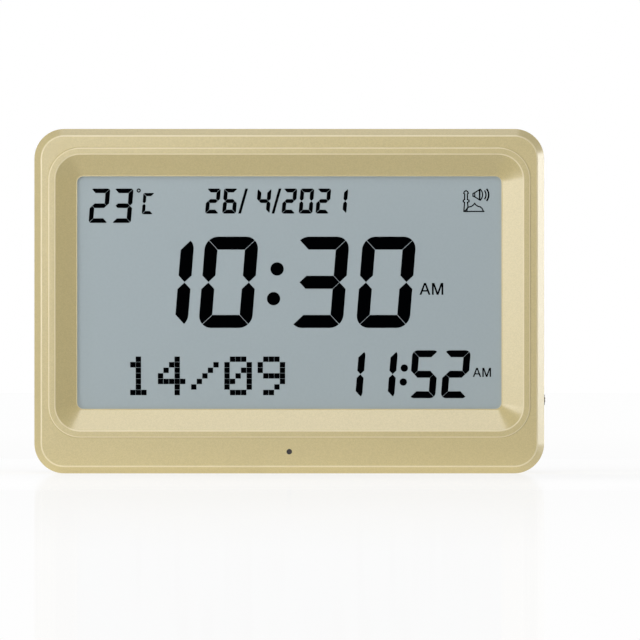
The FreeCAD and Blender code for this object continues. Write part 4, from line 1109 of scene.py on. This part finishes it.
def seen_directly(nodes, links):
    """A value of 1 for rays from the camera, through glass or off a gloss, and 0 for others."""
    rays = nodes.new("ShaderNodeLightPath").outputs
    mirrored = worked_out(nodes, links, "MAXIMUM", rays["Is Camera Ray"], rays["Is Glossy Ray"])
    return worked_out(nodes, links, "MAXIMUM", mirrored, rays["Is Transmission Ray"])


def between(nodes, links, value, low, high, start=0, end=1):
    """A strength that goes from low to high while the value goes from start to end."""
    strength = nodes.new("ShaderNodeMapRange")
    strength.inputs["From Min"].default_value = start
    strength.inputs["From Max"].default_value = end
    strength.inputs["To Min"].default_value = low
    strength.inputs["To Max"].default_value = high
    links.new(value, strength.inputs["Value"])
    return strength.outputs["Result"]


# The table whitens into the backdrop with distance. A strip of it along the clock's foot, which
# only diffuse rays can see, glows up at the lower bevel.

table_finish = bpy.data.materials.new("pale table")
table_finish.use_nodes = True
nodes, links = table_finish.node_tree.nodes, table_finish.node_tree.links
nodes.clear()
matt = nodes.new("ShaderNodeBsdfDiffuse")
matt.inputs["Color"].default_value = (0.92, 0.92, 0.92, 1)
glow = nodes.new("ShaderNodeEmission")
gloss = nodes.new("ShaderNodeBsdfGlossy")
gloss.inputs["Roughness"].default_value = 0.05
whiter = nodes.new("ShaderNodeMixShader")
top = nodes.new("ShaderNodeMixShader")
output = nodes.new("ShaderNodeOutputMaterial")
place = nodes.new("ShaderNodeTexCoord").outputs["Object"]
length = nodes.new("ShaderNodeVectorMath")
length.operation = "LENGTH"
links.new(place, length.inputs[0])
distance = length.outputs["Value"]
axes = nodes.new("ShaderNodeSeparateXYZ")
links.new(place, axes.inputs["Vector"])
from_foot = worked_out(nodes, links, "ABSOLUTE", axes.outputs["Y"])
diffuse_rays = nodes.new("ShaderNodeLightPath").outputs["Is Diffuse Ray"]

whitening = between(nodes, links, distance, share_near, 1, white_start, white_end)
seen_share = worked_out(nodes, links, "MULTIPLY", whitening, seen_directly(nodes, links))
strip = between(nodes, links, from_foot, strip_share, 0, strip_side, strip_edge)
foot_share = worked_out(nodes, links, "MULTIPLY", strip, diffuse_rays)
links.new(worked_out(nodes, links, "ADD", seen_share, foot_share), whiter.inputs["Fac"])
brightness = between(nodes, links, distance, glow_near, 1, white_start, white_end)
links.new(brightness, glow.inputs["Strength"])
shine = between(nodes, links, distance, gloss_near, gloss_far, gloss_start, gloss_end)
links.new(shine, top.inputs["Fac"])
links.new(matt.outputs["BSDF"], whiter.inputs[1])
links.new(glow.outputs["Emission"], whiter.inputs[2])
links.new(whiter.outputs["Shader"], top.inputs[1])
links.new(gloss.outputs["BSDF"], top.inputs[2])
links.new(top.outputs["Shader"], output.inputs["Surface"])
table_mesh.materials.append(table_finish)

world = bpy.data.worlds.new("studio")
bpy.context.scene.world = world
world.use_nodes = True
nodes, links = world.node_tree.nodes, world.node_tree.links
nodes.clear()
backdrop = nodes.new("ShaderNodeBackground")
backdrop.inputs["Color"].default_value = (1, 1, 1, 1)
backdrop_light = between(nodes, links, seen_directly(nodes, links), room_light, 1)
links.new(backdrop_light, backdrop.inputs["Strength"])
output = nodes.new("ShaderNodeOutputWorld")
links.new(backdrop.outputs["Background"], output.inputs["Surface"])

case_centre = Vector((0, 0, (case_low.z + case_high.z) / 2))


def lamp(name, direction, distance, side, power, mirrored=True):
    """A square lamp in metres and watts that faces the clock's middle, mirrored by gloss or not."""
    light = bpy.data.lights.new(name, "AREA")
    light.size = side
    light.energy = power
    holder = bpy.data.objects.new(name, light)
    aim = Vector(direction).normalized()
    holder.location = case_centre + aim * distance
    holder.rotation_euler = aim.to_track_quat("Z", "Y").to_euler()
    holder.visible_glossy = mirrored
    holder.visible_camera = False
    bpy.context.scene.collection.objects.link(holder)


lamp("upper lamp", (0, -0.6, 0.85), distance=1.3, side=0.6, power=5.2)
lamp("left lamp", (-1, -0.6, 0.1), distance=1.3, side=0.5, power=5.2)
lamp("front lamp", (-0.16, -1, 0.13), distance=1.3, side=0.38, power=2.2)
lamp("right lamp", (1, 0.3, 0.05), distance=1.2, side=0.5, power=5.4)
lamp("top lamp", (0, 0.2, 1), distance=1.3, side=0.6, power=1.4)
lamp("back lamp", (-0.5, 1, 0.25), distance=1.5, side=1.2, power=14, mirrored=False)

camera = bpy.data.cameras.new("camera")
camera_distance = 8
frame_width = 0.28857
camera.sensor_width = 36
camera.lens = camera.sensor_width * camera_distance / frame_width
camera.shift_x = 0.048
camera.shift_y = -0.0295
camera.clip_end = 30
viewer = bpy.data.objects.new("camera", camera)
viewer.location = (0, case_low.y - camera_distance, case_centre.z)
viewer.rotation_euler = (math.pi / 2, 0, 0)
bpy.context.scene.collection.objects.link(viewer)
bpy.context.scene.camera = viewer
bpy.context.scene.view_settings.view_transform = "Standard"
